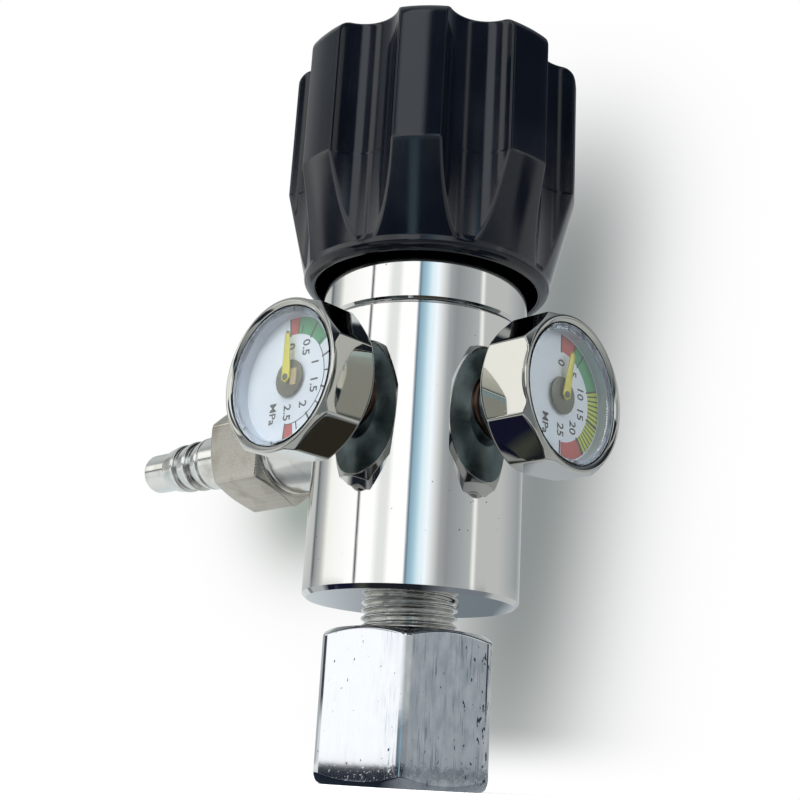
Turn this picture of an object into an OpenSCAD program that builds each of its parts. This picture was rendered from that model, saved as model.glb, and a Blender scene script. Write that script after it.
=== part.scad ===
// Cylinder pressure regulator: swivel inlet nut, round body, spring bonnet, lobed knob,
// two small gauges and a ribbed hose outlet. Millimetres, +Z up.
// The origin is on the main axis at the mouth of the inlet nut.

/* [Body] */
// Diameter of the body and of the bonnet
body_d = 40; // [38:0.5:42]
// Height of the body's underside above the nut's mouth
body_z = 32.4; // [31:0.2:33]
// Height of the body itself
body_h = 52; // [48:0.5:56]
// Depth of the three side ports below the body's top
port_drop = 17.4; // [17:0.1:18]
// Chamfer round the body's lower edge
body_chamfer = 0.8; // [0.4:0.1:1.2]

/* [Inlet nut] */
// Width across the nut's flats
nut_af = 30; // [29:0.5:32]
// Height of the nut
nut_h = 26.8; // [25:0.2:28]
// Radius of the nut's thread crests
nut_thread_r = 10.29; // [10:0.01:10.6]
// Length of the nut's thread from its mouth
nut_thread_h = 14; // [12:0.5:14]
// Turn of the nut about its axis at rest
nut_turn = -2.4; // [-30:0.1:30]

/* [Inlet nipple] */
// Outer radius of the nipple's thread
nipple_r = 8.9; // [8.5:0.1:9]
// Thread pitch of the nipple
nipple_pitch = 1.5; // [1:0.25:2]
// Radius of the nipple's flange
flange_r = 10.1; // [9.8:0.05:10.15]

/* [Knob] */
// How far the lobes stand out beyond the knob's lower rim
knob_flare = 4.5; // [3.5:0.1:5]
// Number of lobes
lobes = 8; // [6:1:10]
// Height of the knob's lower rim above the nut's mouth
knob_z = 93.4; // [92:0.2:95]
// Height of the knob
knob_h = 48.2; // [48.2:0.2:52]
// Height of the cone below the straight grip
knob_cone_h = 19.8; // [18:0.2:22]
// Thickness of the knob's skirt at its lower rim
knob_wall = 2.3; // [2:0.1:3]
// Radius of the hollow cut between two lobes
scallop_r = 7.35; // [6:0.05:8]
// Distance of the hollow's centre outside the lobes' tips
scallop_out = 2.5; // [2:0.1:3.2]
// Turn of the lobes about the axis at rest
knob_turn = -8.7; // [-22:0.1:22]

/* [Setting screw] */
// Outer radius of the setting screw's thread
screw_r = 5.93; // [5.9:0.01:5.95]
// Travel of the spring button from rest to full setting
button_travel = 4.5; // [3:0.5:4.5]

/* [Springs] */
// Mean radius of the range spring
range_r = 7.5; // [7:0.1:7.7]
// Wire radius of the range spring
range_wire_r = 1.6; // [1.2:0.1:1.7]
// Turns of the range spring
range_turns = 4.5; // [3:0.5:4.5]
// Mean radius of the poppet spring
poppet_spring_r = 3; // [2.8:0.1:3.2]
// Wire radius of the poppet spring
poppet_wire_r = 0.35; // [0.25:0.05:0.4]
// Turns of the poppet spring
poppet_turns = 4; // [3:0.5:4.5]

/* [Gauges] */
// Distance of a gauge's face from the main axis
gauge_face = 36.5; // [36:0.1:38]
// Outer diameter of a gauge's face ring
gauge_ring_d = 28; // [27.4:0.1:28.2]
// Width across a gauge case's four wide flats
gauge_af = 26.4; // [25.5:0.1:26.8]
// Diameter over a gauge case's corners
gauge_corner_d = 29.7; // [29:0.1:30]
// Diameter of a gauge's lens
lens_d = 25; // [24:0.1:25.2]
// Depth of the dial below the gauge's face
dial_depth = 4.1; // [3.6:0.1:4.6]
// Needle length from its pivot
needle_l = 8.6; // [7:0.1:10]

/* [Outlet] */
// Width across the hose tail's hexagon
tail_af = 21.5; // [20:0.5:22]
// Distance of the hose tail's tip from the main axis
tail_tip = 83.3; // [81:0.1:86]
// Radius of the shank behind the ribs
tail_r = 5.95; // [5:0.05:6.2]
// Number of ribs
tail_ribs = 3; // [2:1:4]

/* [Fits] */
// Radial clearance of a screwed joint
thread_gap = 0.05; // [0.03:0.01:0.08]
// Radial clearance of a sliding or turning fit
run_gap = 0.07; // [0.04:0.01:0.1]
// Radial clearance where moving parts pass freely
free_gap = 0.35; // [0.3:0.05:0.5]

/* [Hidden] */
$fn = 96;
EPS = 0.05;

// Side ports: bearing of each about the main axis, 0 towards the front, + towards the right.
LOW_PORT = -45;
HIGH_PORT = 45;
OUTLET_PORT = -135;
port_r = 4.95;
outlet_port_r = 6.95;
port_bottom = 11;
spot_face = 18.7;
spot_r = 6.9;
outlet_spot_face = 17.6;
outlet_spot_r = 9.6;
side_washer_h = 1;
gauge_shoulder = spot_face + side_washer_h;
outlet_shoulder = outlet_spot_face + side_washer_h;

// Heights that the rest hangs on.
body_r = body_d / 2;
bonnet_z = body_z + body_h;
port_z = bonnet_z - port_drop;
bonnet_seat = bonnet_z - 7.8;

// Inlet: from the mouth upwards.
nut_bore_r = nipple_r + free_gap;
nut_relief_r = nut_thread_r + 0.7;
nut_seat = 18;
nut_chamfer_r = 14.3;
flange_h = 3;
flange_z = nut_seat - flange_h - run_gap;
gasket_h = 1.6;
gasket_r = 8.4;
gasket_bore_r = 3.6;
gasket_recess = 0.8;
nipple_bore_r = 3;
nipple_in_body = 14;
nipple_top = body_z + nipple_in_body;
thread_z = nut_seat + 1.2;
filter_r = 4.1;
filter_depth = 8;
filter_seat = nipple_top - filter_depth;
seal_h = 1.5;
seal_r = 8.5;
chamber_z = nipple_top + seal_h;

// Valve.
chamber_r = 5;
nozzle_h = 7.2;
low_chamber_z = bonnet_seat - 6.5;
nozzle_z = low_chamber_z - nozzle_h - 0.3;
nozzle_r = 6;
nozzle_bore_r = 1.6;
lip_h = 1;
lip_r = 2.3;
oring_wire = 0.5;
poppet_r = chamber_r - 0.5;
poppet_foot_r = 2.2;
disc_r = 3.2;
disc_h = 1.8;
seat_gap = EPS;
poppet_top = nozzle_z - lip_h - seat_gap;
poppet_foot_z = chamber_z + 0.19 * (poppet_top - chamber_z);
poppet_seat_z = chamber_z + 0.54 * (poppet_top - chamber_z);

// Piston.
piston_bore_r = 7.05;
piston_r = piston_bore_r - run_gap;
piston_z = low_chamber_z + 1.5;
piston_pin_r = nozzle_bore_r - free_gap;
piston_pin_z = poppet_top + seat_gap;
piston_flange_z = bonnet_seat + 1.2;
piston_flange_h = 2.4;
piston_flange_r = 10.9;
piston_ring_z = bonnet_seat - 2.4;
piston_ring_wire = 0.9;
spring_foot = piston_flange_z + piston_flange_h;
hub_r = 5.4;
hub_h = 2.2;

// Bonnet and button.
bonnet_thread_r = 15.9;
bonnet_bore_r = 11.3;
bonnet_chamfer = 1.1;
bonnet_neck_r = 11;
bonnet_ring_wire = 0.7;
range_l = 23;
button_z = spring_foot + range_l;
button_h = 4.2;
bonnet_roof = button_z + button_h + 1.6;
bonnet_neck_z = bonnet_roof - 0.4;
bonnet_shoulder = bonnet_neck_z - 5;
bonnet_top = bonnet_roof + 9.6;
button_r = bonnet_bore_r - run_gap;
ball_r = 3;
ball_z = button_z + button_h + 0.6;
screw_z = ball_z + 1.4;

// Knob and what holds it on the screw. The knob's own heights are counted from its rim.
knob_cavity_r = body_r + 2;
knob_rim_r = knob_cavity_r + knob_wall;
knob_r = knob_rim_r + knob_flare;
knob_lip_h = 2;
knob_top_fillet = 3;
knob_cavity_h = bonnet_shoulder + 6.8 - knob_z;
knob_cone_top_r = 14.5;
knob_roof_h = bonnet_top + button_travel + 0.7 - knob_z;
knob_dish_r = 17;
knob_dish = 1.2;
screw_hex_z = knob_z + knob_roof_h + 1.3;
screw_hex_h = 9;
screw_top = screw_hex_z + screw_hex_h;
screw_hex_af = 10;
screw_bolt_r = 3;
insert_r = 9;
knob_washer_h = 1.2;
knob_washer_r = 6.6;
bolt_head_h = 5;
bolt_head_r = 5;
bolt_l = 14;
bolt_tip = screw_top - bolt_l;
bolt_socket_af = 5;
bolt_socket_h = 2.5;
bolt_well_r = 7.4;

// Gauge insides, along the gauge's own axis from the main axis outwards.
stem_r = 4.9;
stem_bore_r = 1;
neck_r = 6.2;
washer_bore_r = 5.2;
case_back = 25.8;
case_chamfer = 0.8;
lens_t = 1.6;
lens_inset = 0.5;
lens_pocket_r = lens_d / 2 + 0.1;
dial_front = gauge_face - dial_depth;
dial_t = 0.6;
coil_room_r = 11.7;
coil_room_z = case_back + 1.6;
window_r = 11.6;
spindle_r = 0.6;
hub_disc_r = 3.35;
hub_disc_t = 0.4;
needle_t = 0.3;
needle_z = dial_front + 1.2;
coil_r = 7.5;
coil_wire_r = 0.3;
coil_turns = 2.5;
coil_z0 = coil_room_z + coil_wire_r + EPS;
coil_z1 = dial_front - dial_t - coil_wire_r - EPS;

// Needle and case bearings seen from the front of each gauge, 0 to the right, + upwards.
LOW_NEEDLE = 93;
HIGH_NEEDLE = 78;
LOW_CASE = -7.6;
HIGH_CASE = 0;

// Hose tail, along its own axis from the main axis outwards.
collar_r = 9.5;
tail_hex_z = 35.3;
tail_hex_h = 15.1;
tail_bore_r = 2.75;
tail_thread_r = outlet_port_r - thread_gap;
tip_r = 4.45;
tip_l = 7.9;
rib_l = 4.55;
rib_foot_r = 4.85;
rib_grow = 0.2;
rib_tip_r = 5.45;

// ---- shared shapes ----

// Turns a shape drawn along +Z so that it points outwards along a port's bearing.
module at_port(bearing) {
    rotate([0, 0, bearing])
        translate([0, 0, port_z])
            rotate([90, 0, 0])
                children();
}

// A ring of rectangular section.
module ring(outer_r, inner_r, z, h) {
    translate([0, 0, z])
        difference() {
            cylinder(r = outer_r, h = h);
            translate([0, 0, -EPS])
                cylinder(r = inner_r, h = h + 2 * EPS);
        }
}

// A rubber ring of round section, centred on height z.
module o_ring(mean_r, wire_r, z) {
    translate([0, 0, z])
        rotate_extrude()
            translate([mean_r, 0])
                circle(r = wire_r, $fn = 32);
}

// A cylinder whose ends have chamfers c0 and c1, starting at height z.
module barrel(r, z, h, c0, c1) {
    translate([0, 0, z])
        rotate_extrude()
            polygon([[0, 0], [r - c0, 0], [r, c0], [r, h - c1], [r - c1, h], [0, h]]);
}

// A hexagonal prism by its width across flats, from height z.
module hexagon(af, z, h) {
    translate([0, 0, z])
        cylinder(r = af / sqrt(3), h = h, $fn = 6);
}

// The outside of a screw thread, drawn as rings one pitch apart.
module ribbed_thread(crest_r, depth, pitch, z, h) {
    turns = floor(h / pitch);
    start = z + (h - turns * pitch) / 2;
    difference() {
        translate([0, 0, z])
            cylinder(r = crest_r, h = h);
        translate([0, 0, start])
            for (i = [0 : turns - 1])
                translate([0, 0, i * pitch])
                    rotate_extrude()
                        polygon([
                            [crest_r + EPS, 0.1 * pitch],
                            [crest_r + EPS, 0.9 * pitch],
                            [crest_r - depth, 0.5 * pitch]
                        ]);
    }
}

// ---- coils ----

COIL_SIDES = 8;
COIL_STEPS = 16;

// Centre of the wire at a turn count t: a helix that climbs from z0 to z1.
function helix_point(r, z0, z1, turns, t) =
    [r * cos(360 * t), r * sin(360 * t), z0 + (z1 - z0) * t / turns];

// Points of one ring of wire at turn count t.
function wire_ring(r, wire_r, z0, z1, turns, t) =
    let (
        centre = helix_point(r, z0, z1, turns, t),
        outward = [cos(360 * t), sin(360 * t), 0],
        rise = (z1 - z0) / turns,
        run = 2 * PI * r,
        slope = atan2(rise, run),
        up = [sin(slope) * sin(360 * t), -sin(slope) * cos(360 * t), cos(slope)]
    )
    [for (k = [0 : COIL_SIDES - 1])
        centre + wire_r * (cos(360 * k / COIL_SIDES) * outward + sin(360 * k / COIL_SIDES) * up)];

// Least distance between the wire and itself, half a turn or more away.
function coil_gap(r, wire_r, z0, z1, turns) =
    min([for (t = [0 : 0.125 : turns - 1])
        for (s = [t + 0.5 : 0.125 : turns])
            norm(helix_point(r, z0, z1, turns, t) - helix_point(r, z0, z1, turns, s))]) - 2 * wire_r;

// One unbroken wire wound about the main axis.
module coil(r, wire_r, z0, z1, turns) {
    steps = round(turns * COIL_STEPS);
    points = [for (i = [0 : steps]) each wire_ring(r, wire_r, z0, z1, turns, i / COIL_STEPS)];
    last = steps * COIL_SIDES;
    sides = [for (i = [0 : steps - 1]) for (k = [0 : COIL_SIDES - 1])
        let (
            a = i * COIL_SIDES + k,
            b = i * COIL_SIDES + (k + 1) % COIL_SIDES
        )
        each [[a, b, b + COIL_SIDES], [a, b + COIL_SIDES, a + COIL_SIDES]]];
    first_cap = [for (k = [1 : COIL_SIDES - 2]) [0, k + 1, k]];
    last_cap = [for (k = [1 : COIL_SIDES - 2]) [last, last + k, last + k + 1]];
    polyhedron(points = points, faces = concat(sides, first_cap, last_cap), convexity = 8);
}

// ---- inlet ----

module swivel_nut() {
    color("silver")
        rotate([0, 0, nut_turn])
            difference() {
                intersection() {
                    rotate([0, 0, 30])
                        hexagon(nut_af, 0, nut_h);
                    nut_cones();
                }
                nut_bore();
            }
}

// Outline that takes the hexagon's corners off at both ends at 30 degrees.
module nut_cones() {
    corner_r = nut_af / sqrt(3) + EPS;
    drop = (corner_r - nut_chamfer_r) * tan(30);
    rotate_extrude()
        polygon([
            [0, 0], [nut_chamfer_r, 0], [corner_r, drop],
            [corner_r, nut_h - drop], [nut_chamfer_r, nut_h], [0, nut_h]
        ]);
}

// Thread crests, relief groove and the plain hole round the nipple's shank.
module nut_bore() {
    translate([0, 0, -EPS])
        cylinder(r = nut_thread_r, h = nut_thread_h + EPS);
    translate([0, 0, nut_thread_h])
        cylinder(r = nut_relief_r, h = nut_seat - nut_thread_h);
    translate([0, 0, nut_seat - EPS])
        cylinder(r = nut_bore_r, h = nut_h - nut_seat + 2 * EPS);
}

module inlet_nipple() {
    color("gainsboro")
        difference() {
            union() {
                translate([0, 0, flange_z])
                    cylinder(r = flange_r, h = flange_h);
                translate([0, 0, flange_z + flange_h - EPS])
                    cylinder(r = nipple_r - 0.9, h = thread_z - flange_z - flange_h + 2 * EPS);
                ribbed_thread(nipple_r, 0.85, nipple_pitch, thread_z, nipple_top - thread_z);
            }
            translate([0, 0, flange_z - EPS])
                cylinder(r = nipple_bore_r, h = nipple_top);
            translate([0, 0, flange_z - EPS])
                cylinder(r = gasket_r + thread_gap, h = gasket_recess + EPS);
            translate([0, 0, filter_seat])
                cylinder(r = filter_r + thread_gap, h = nipple_top);
        }
}

module inlet_gasket() {
    color("dimgray")
        ring(gasket_r, gasket_bore_r, flange_z + gasket_recess - gasket_h, gasket_h);
}

module inlet_filter() {
    color("peru")
        barrel(filter_r, filter_seat, chamber_z - filter_seat, 0.3, 0.6);
}

module nipple_seal() {
    color("peru")
        ring(seal_r, filter_r + thread_gap, nipple_top, seal_h);
}

// ---- body ----

module body() {
    color("gainsboro")
        difference() {
            barrel(body_r, body_z, body_h, body_chamfer, 0.2);
            body_axis_bores();
            side_port(LOW_PORT, port_r, spot_face, spot_r);
            side_port(HIGH_PORT, port_r, spot_face, spot_r);
            side_port(OUTLET_PORT, outlet_port_r, outlet_spot_face, outlet_spot_r);
            low_passage(LOW_PORT);
            low_passage(OUTLET_PORT);
            high_passage();
        }
}

// Every bore on the main axis, from the nipple's thread to the bonnet's.
module body_axis_bores() {
    translate([0, 0, body_z - EPS])
        cylinder(r = nipple_r + thread_gap, h = chamber_z - body_z + EPS);
    translate([0, 0, chamber_z - EPS])
        cylinder(r = chamber_r, h = nozzle_z - chamber_z + 2 * EPS);
    translate([0, 0, nozzle_z])
        cylinder(r = nozzle_r + thread_gap, h = low_chamber_z - nozzle_z + EPS);
    translate([0, 0, low_chamber_z])
        cylinder(r = piston_bore_r, h = bonnet_seat - low_chamber_z + EPS);
    translate([0, 0, bonnet_seat])
        cylinder(r = bonnet_thread_r + thread_gap, h = bonnet_z);
}

// A blind threaded port with its flat spot face.
module side_port(bearing, r, face_at, face_r) {
    at_port(bearing) {
        translate([0, 0, port_bottom])
            cylinder(r = r, h = body_r);
        translate([0, 0, face_at])
            cylinder(r = face_r, h = body_r);
    }
}

// Level drilling from a port's bottom into the chamber under the piston.
module low_passage(bearing) {
    drill_r = 0.7;
    rise = low_chamber_z + drill_r + 0.05 - port_z;
    at_port(bearing)
        translate([0, rise, 0.8 * piston_bore_r])
            cylinder(r = drill_r, h = port_bottom - 0.8 * piston_bore_r + 1, $fn = 24);
}

// Slanting drilling from the cylinder gauge's port down into the chamber under the nozzle.
module high_passage() {
    drill_r = 0.9;
    drill_l = 10.6;
    slant = 50;
    at_port(HIGH_PORT)
        translate([0, -port_r / 2, port_bottom + 0.5])
            rotate([180 - slant, 0, 0])
                cylinder(r = drill_r, h = drill_l, $fn = 24);
}

// ---- valve ----

module nozzle() {
    groove_r = nozzle_r - 2 * oring_wire;
    color("goldenrod")
        difference() {
            union() {
                translate([0, 0, nozzle_z])
                    cylinder(r = nozzle_r, h = nozzle_h);
                translate([0, 0, nozzle_z - lip_h])
                    cylinder(r1 = nozzle_bore_r + 0.3, r2 = lip_r, h = lip_h + EPS);
            }
            translate([0, 0, nozzle_z - lip_h - EPS])
                cylinder(r = nozzle_bore_r, h = nozzle_h + lip_h + 2 * EPS);
            ring(nozzle_r + 1, groove_r - 0.02, nozzle_z + 1.5, 2.1 * oring_wire);
            hexagon(5, nozzle_z + nozzle_h - 2.5, 3);
        }
}

module nozzle_oring() {
    color("black")
        o_ring(nozzle_r - oring_wire, oring_wire - 0.02, nozzle_z + 1.5 + 1.05 * oring_wire);
}

module poppet() {
    color("silver")
        difference() {
            union() {
                translate([0, 0, poppet_foot_z])
                    cylinder(r = poppet_foot_r, h = poppet_seat_z - poppet_foot_z + EPS);
                barrel(poppet_r, poppet_seat_z, poppet_top - poppet_seat_z - 0.2, 0.3, 0.3);
            }
            translate([0, 0, poppet_top - disc_h])
                cylinder(r = disc_r, h = disc_h + 1);
        }
}

module poppet_disc() {
    color("white")
        translate([0, 0, poppet_top - disc_h])
            cylinder(r = disc_r, h = disc_h);
}

module poppet_spring() {
    color("silver")
        coil(
            poppet_spring_r, poppet_wire_r,
            chamber_z + poppet_wire_r + EPS, poppet_seat_z - poppet_wire_r - EPS, poppet_turns
        );
}

// ---- piston ----

module piston() {
    groove_r = piston_bore_r - 2 * piston_ring_wire - 0.06;
    color("goldenrod")
        difference() {
            union() {
                translate([0, 0, piston_pin_z])
                    cylinder(r = piston_pin_r, h = piston_z - piston_pin_z + EPS);
                barrel(piston_r, piston_z, piston_flange_z - piston_z + EPS, 0.4, 0);
                barrel(piston_flange_r, piston_flange_z, piston_flange_h, 0.4, 0.4);
                barrel(hub_r, spring_foot - EPS, hub_h, 0, 0.6);
            }
            ring(piston_r + 1, groove_r, piston_ring_z - 1.05 * piston_ring_wire, 2.1 * piston_ring_wire);
        }
}

module piston_oring() {
    color("black")
        o_ring(piston_bore_r - piston_ring_wire - 0.05, piston_ring_wire, piston_ring_z);
}

module range_spring() {
    color("slategray")
        coil(
            range_r, range_wire_r,
            spring_foot + range_wire_r + EPS, button_z - range_wire_r - EPS, range_turns
        );
}

// ---- bonnet, button and screw ----

module bonnet() {
    color("gainsboro")
        difference() {
            rotate_extrude()
                polygon([
                    [0, bonnet_seat],
                    [bonnet_thread_r - 0.6, bonnet_seat],
                    [bonnet_thread_r, bonnet_seat + 0.6],
                    [bonnet_thread_r, bonnet_z],
                    [body_r - bonnet_chamfer, bonnet_z],
                    [body_r, bonnet_z + bonnet_chamfer],
                    [body_r, bonnet_shoulder],
                    [body_r - 2, bonnet_shoulder + 2],
                    [bonnet_neck_r + 2, bonnet_neck_z],
                    [bonnet_neck_r, bonnet_neck_z + 2],
                    [bonnet_neck_r, bonnet_top - 1],
                    [bonnet_neck_r - 1, bonnet_top],
                    [0, bonnet_top]
                ]);
            translate([0, 0, bonnet_seat - EPS])
                cylinder(r = bonnet_bore_r, h = bonnet_roof - bonnet_seat + EPS);
            translate([0, 0, bonnet_roof - EPS])
                cylinder(r = screw_r + run_gap, h = bonnet_top - bonnet_roof + 2 * EPS);
            ring(
                bonnet_thread_r + 1, bonnet_thread_r - 2 * bonnet_ring_wire,
                bonnet_z - 2.2, 2.1 * bonnet_ring_wire
            );
        }
}

module bonnet_oring() {
    color("black")
        o_ring(
            bonnet_thread_r - bonnet_ring_wire + 0.02, bonnet_ring_wire - 0.02,
            bonnet_z - 2.2 + 1.05 * bonnet_ring_wire
        );
}

module spring_button() {
    color("silver")
        difference() {
            union() {
                barrel(button_r, button_z, button_h, 0.4, 0.4);
                barrel(hub_r, button_z - hub_h, hub_h + EPS, 0.6, 0);
            }
            translate([0, 0, ball_z])
                sphere(r = ball_r);
        }
}

module thrust_ball() {
    color("whitesmoke")
        translate([0, 0, ball_z])
            sphere(r = ball_r);
}

module adjusting_screw() {
    color("silver")
        difference() {
            union() {
                barrel(screw_r, screw_z, screw_hex_z - screw_z, 0.6, 0);
                hexagon(screw_hex_af, screw_hex_z - EPS, screw_hex_h + EPS);
            }
            translate([0, 0, ball_z])
                sphere(r = ball_r + run_gap);
            translate([0, 0, bolt_tip - 1.5])
                cylinder(r = screw_bolt_r + thread_gap, h = screw_top);
        }
}

// ---- knob ----

// Outside of the knob before the hollows are cut, with its heights from the rim.
module knob_outline() {
    lip_top_z = knob_lip_h;
    rotate_extrude()
        union() {
            polygon([
                [0, knob_lip_h],
                [knob_rim_r, lip_top_z],
                [knob_r, knob_cone_h],
                [knob_r, knob_h - knob_top_fillet],
                [knob_r - knob_top_fillet, knob_h],
                [0, knob_h]
            ]);
            translate([knob_r - knob_top_fillet, knob_h - knob_top_fillet])
                circle(r = knob_top_fillet);
            polygon([
                [0, 0],
                [knob_rim_r - knob_lip_h, 0],
                [knob_rim_r, lip_top_z],
                [0, lip_top_z + EPS]
            ]);
            translate([knob_rim_r - knob_lip_h, knob_lip_h])
                intersection() {
                    circle(r = knob_lip_h);
                    translate([0, -knob_lip_h])
                        square([knob_lip_h, knob_lip_h]);
                }
        }
}

// Hollow inside: a straight skirt, a cone and a flat roof.
module knob_cavity() {
    rotate_extrude()
        polygon([
            [0, -EPS],
            [knob_cavity_r, -EPS],
            [knob_cavity_r, knob_cavity_h],
            [knob_cone_top_r, knob_roof_h - 4],
            [knob_cone_top_r, knob_roof_h],
            [0, knob_roof_h]
        ]);
}

// The upright hollows between the lobes, from the lip's top upwards.
module knob_scallops() {
    for (i = [0 : lobes - 1])
        rotate([0, 0, (i + 0.5) * 360 / lobes - 90])
            translate([knob_r + scallop_out, 0, knob_lip_h])
                cylinder(r = scallop_r, h = knob_h);
}

// The stepped hole down the middle, from the dished top to the insert.
module knob_middle() {
    insert_z = screw_hex_z - knob_z - 1;
    washer_z = screw_top - knob_z;
    translate([0, 0, knob_roof_h - EPS])
        cylinder(r = screw_r + free_gap, h = knob_h);
    translate([0, 0, insert_z])
        cylinder(r = insert_r, h = washer_z - insert_z);
    translate([0, 0, washer_z - EPS])
        cylinder(r = bolt_well_r, h = knob_h);
    translate([0, 0, knob_h - knob_dish])
        cylinder(r1 = knob_dish_r - knob_dish, r2 = knob_dish_r + EPS, h = knob_dish + EPS);
}

module knob() {
    color("#1c1f26")
        translate([0, 0, knob_z])
            rotate([0, 0, knob_turn])
                difference() {
                    knob_outline();
                    knob_scallops();
                    knob_cavity();
                    knob_middle();
                }
}

module knob_insert() {
    insert_z = screw_hex_z - 1;
    color("goldenrod")
        difference() {
            translate([0, 0, insert_z])
                cylinder(r = insert_r, h = screw_top - insert_z);
            translate([0, 0, insert_z - EPS])
                cylinder(r = screw_r + free_gap, h = 1 + EPS);
            hexagon(screw_hex_af + 2 * thread_gap, screw_hex_z - EPS, screw_top);
        }
}

module knob_washer() {
    color("silver")
        ring(knob_washer_r, screw_bolt_r + 0.2, screw_top, knob_washer_h);
}

module knob_bolt() {
    head_z = screw_top + knob_washer_h;
    color("#202226")
        difference() {
            union() {
                translate([0, 0, bolt_tip])
                    cylinder(r = screw_bolt_r, h = head_z - bolt_tip + EPS);
                barrel(bolt_head_r, head_z, bolt_head_h, 0, 0.4);
            }
            hexagon(bolt_socket_af, head_z + bolt_head_h - bolt_socket_h, bolt_socket_h + EPS);
        }
}

// ---- outlet ----

// Outline of the ribs and the tip, from the shank outwards.
module tail_outline() {
    ribs_end = tail_tip - tip_l;
    ribs_start = ribs_end - tail_ribs * rib_l;
    shank_z = tail_hex_z + tail_hex_h - EPS;
    rotate_extrude()
        union() {
            translate([0, shank_z])
                square([tail_r, ribs_start - shank_z]);
            for (i = [0 : tail_ribs - 1])
                polygon([
                    [0, ribs_start + i * rib_l],
                    [rib_tip_r + rib_grow * (tail_ribs - 1 - i), ribs_start + i * rib_l],
                    [rib_foot_r, ribs_start + (i + 1) * rib_l],
                    [0, ribs_start + (i + 1) * rib_l]
                ]);
            translate([0, ribs_end - EPS])
                square([tip_r, tip_l - 0.8 + EPS]);
            polygon([[0, tail_tip - 0.8], [tip_r, tail_tip - 0.8], [tip_r - 0.8, tail_tip], [0, tail_tip]]);
        }
}

module tail_hex() {
    corner_r = tail_af / sqrt(3) + EPS;
    face_r = tail_af / 2 - 0.3;
    drop = (corner_r - face_r) * tan(30);
    intersection() {
        rotate([0, 0, 20])
            hexagon(tail_af, tail_hex_z, tail_hex_h);
        translate([0, 0, tail_hex_z])
            rotate_extrude()
                polygon([
                    [0, 0], [face_r, 0], [corner_r, drop],
                    [corner_r, tail_hex_h - drop], [face_r, tail_hex_h], [0, tail_hex_h]
                ]);
    }
}

module hose_tail() {
    color("silver")
        at_port(OUTLET_PORT)
            difference() {
                union() {
                    barrel(tail_thread_r, port_bottom + 0.6, outlet_shoulder - port_bottom, 0.6, 0);
                    translate([0, 0, outlet_shoulder])
                        cylinder(r = collar_r, h = tail_hex_z - outlet_shoulder + EPS);
                    tail_hex();
                    tail_outline();
                }
                translate([0, 0, port_bottom])
                    cylinder(r = tail_bore_r, h = tail_tip);
            }
}

module outlet_washer() {
    color("peru")
        at_port(OUTLET_PORT)
            ring(collar_r - 0.4, outlet_port_r + 0.1, outlet_spot_face, side_washer_h);
}

// ---- gauges ----

// Round bar turned to the case's outline; its eight flats are cut from it.
module case_blank() {
    ring_r = gauge_ring_d / 2;
    corner_r = gauge_corner_d / 2;
    front_drop = corner_r - ring_r;
    rotate_extrude()
        polygon([
            [0, case_back],
            [corner_r - 1.6, case_back],
            [corner_r, case_back + case_chamfer],
            [corner_r, gauge_face - front_drop],
            [ring_r, gauge_face],
            [0, gauge_face]
        ]);
}

// Four wide flats and four narrow ones between them.
module case_flats(turn) {
    narrow_af = gauge_corner_d * cos(45 - acos(gauge_af / gauge_corner_d));
    rotate([0, 0, turn])
        intersection() {
            translate([-gauge_af / 2, -gauge_af / 2, case_back - EPS])
                cube([gauge_af, gauge_af, gauge_face - case_back + 2 * EPS]);
            rotate([0, 0, 45])
                translate([-narrow_af / 2, -narrow_af / 2, case_back - EPS])
                    cube([narrow_af, narrow_af, gauge_face - case_back + 2 * EPS]);
        }
}

module gauge_case(bearing, turn) {
    face_ring_h = 1.2;
    color("gainsboro")
        at_port(bearing)
            difference() {
                union() {
                    barrel(stem_r, port_bottom + 0.6, gauge_shoulder - port_bottom, 0.6, 0);
                    translate([0, 0, gauge_shoulder])
                        cylinder(r = neck_r, h = case_back - gauge_shoulder + EPS);
                    intersection() {
                        case_blank();
                        case_flats(turn);
                    }
                    translate([0, 0, gauge_face - face_ring_h])
                        cylinder(r1 = gauge_af / 2 - 0.2, r2 = gauge_ring_d / 2, h = face_ring_h);
                }
                translate([0, 0, port_bottom])
                    cylinder(r = stem_bore_r, h = body_r);
                translate([0, 0, coil_room_z])
                    cylinder(r = coil_room_r, h = gauge_face - coil_room_z);
                translate([0, 0, dial_front - dial_t])
                    cylinder(r = lens_pocket_r, h = dial_depth + 2);
            }
}

module gauge_washer(bearing) {
    color("peru")
        at_port(bearing)
            ring(neck_r + 0.3, washer_bore_r, spot_face, side_washer_h);
}

module gauge_coil(bearing) {
    color("goldenrod")
        at_port(bearing)
            coil(coil_r, coil_wire_r, coil_z0, coil_z1, coil_turns);
}

module gauge_dial(bearing) {
    color("white")
        at_port(bearing)
            ring(lens_d / 2, spindle_r + 0.3, dial_front - dial_t, dial_t);
}

module gauge_spacer(bearing) {
    color("lightgray")
        at_port(bearing)
            ring(lens_d / 2, window_r, dial_front, dial_depth - lens_inset - lens_t);
}

module gauge_lens(bearing) {
    color("aliceblue", 0.35)
        at_port(bearing)
            barrel(lens_d / 2, gauge_face - lens_inset - lens_t, lens_t, 0, 0.2);
}

// A flat pointer, wide at the pivot and narrow at the tip.
module gauge_needle(bearing, angle) {
    root_w = 2.1;
    tip_w = 0.8;
    color("gold")
        at_port(bearing)
            translate([0, 0, needle_z])
                rotate([0, 0, angle])
                    difference() {
                        union() {
                            linear_extrude(height = needle_t)
                                polygon([
                                    [0, -root_w / 2], [needle_l, -tip_w / 2],
                                    [needle_l, tip_w / 2], [0, root_w / 2]
                                ]);
                            cylinder(r = root_w / 2, h = needle_t, $fn = 32);
                        }
                        translate([0, 0, -EPS])
                            cylinder(r = spindle_r, h = needle_t + 2 * EPS, $fn = 32);
                    }
}

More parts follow.
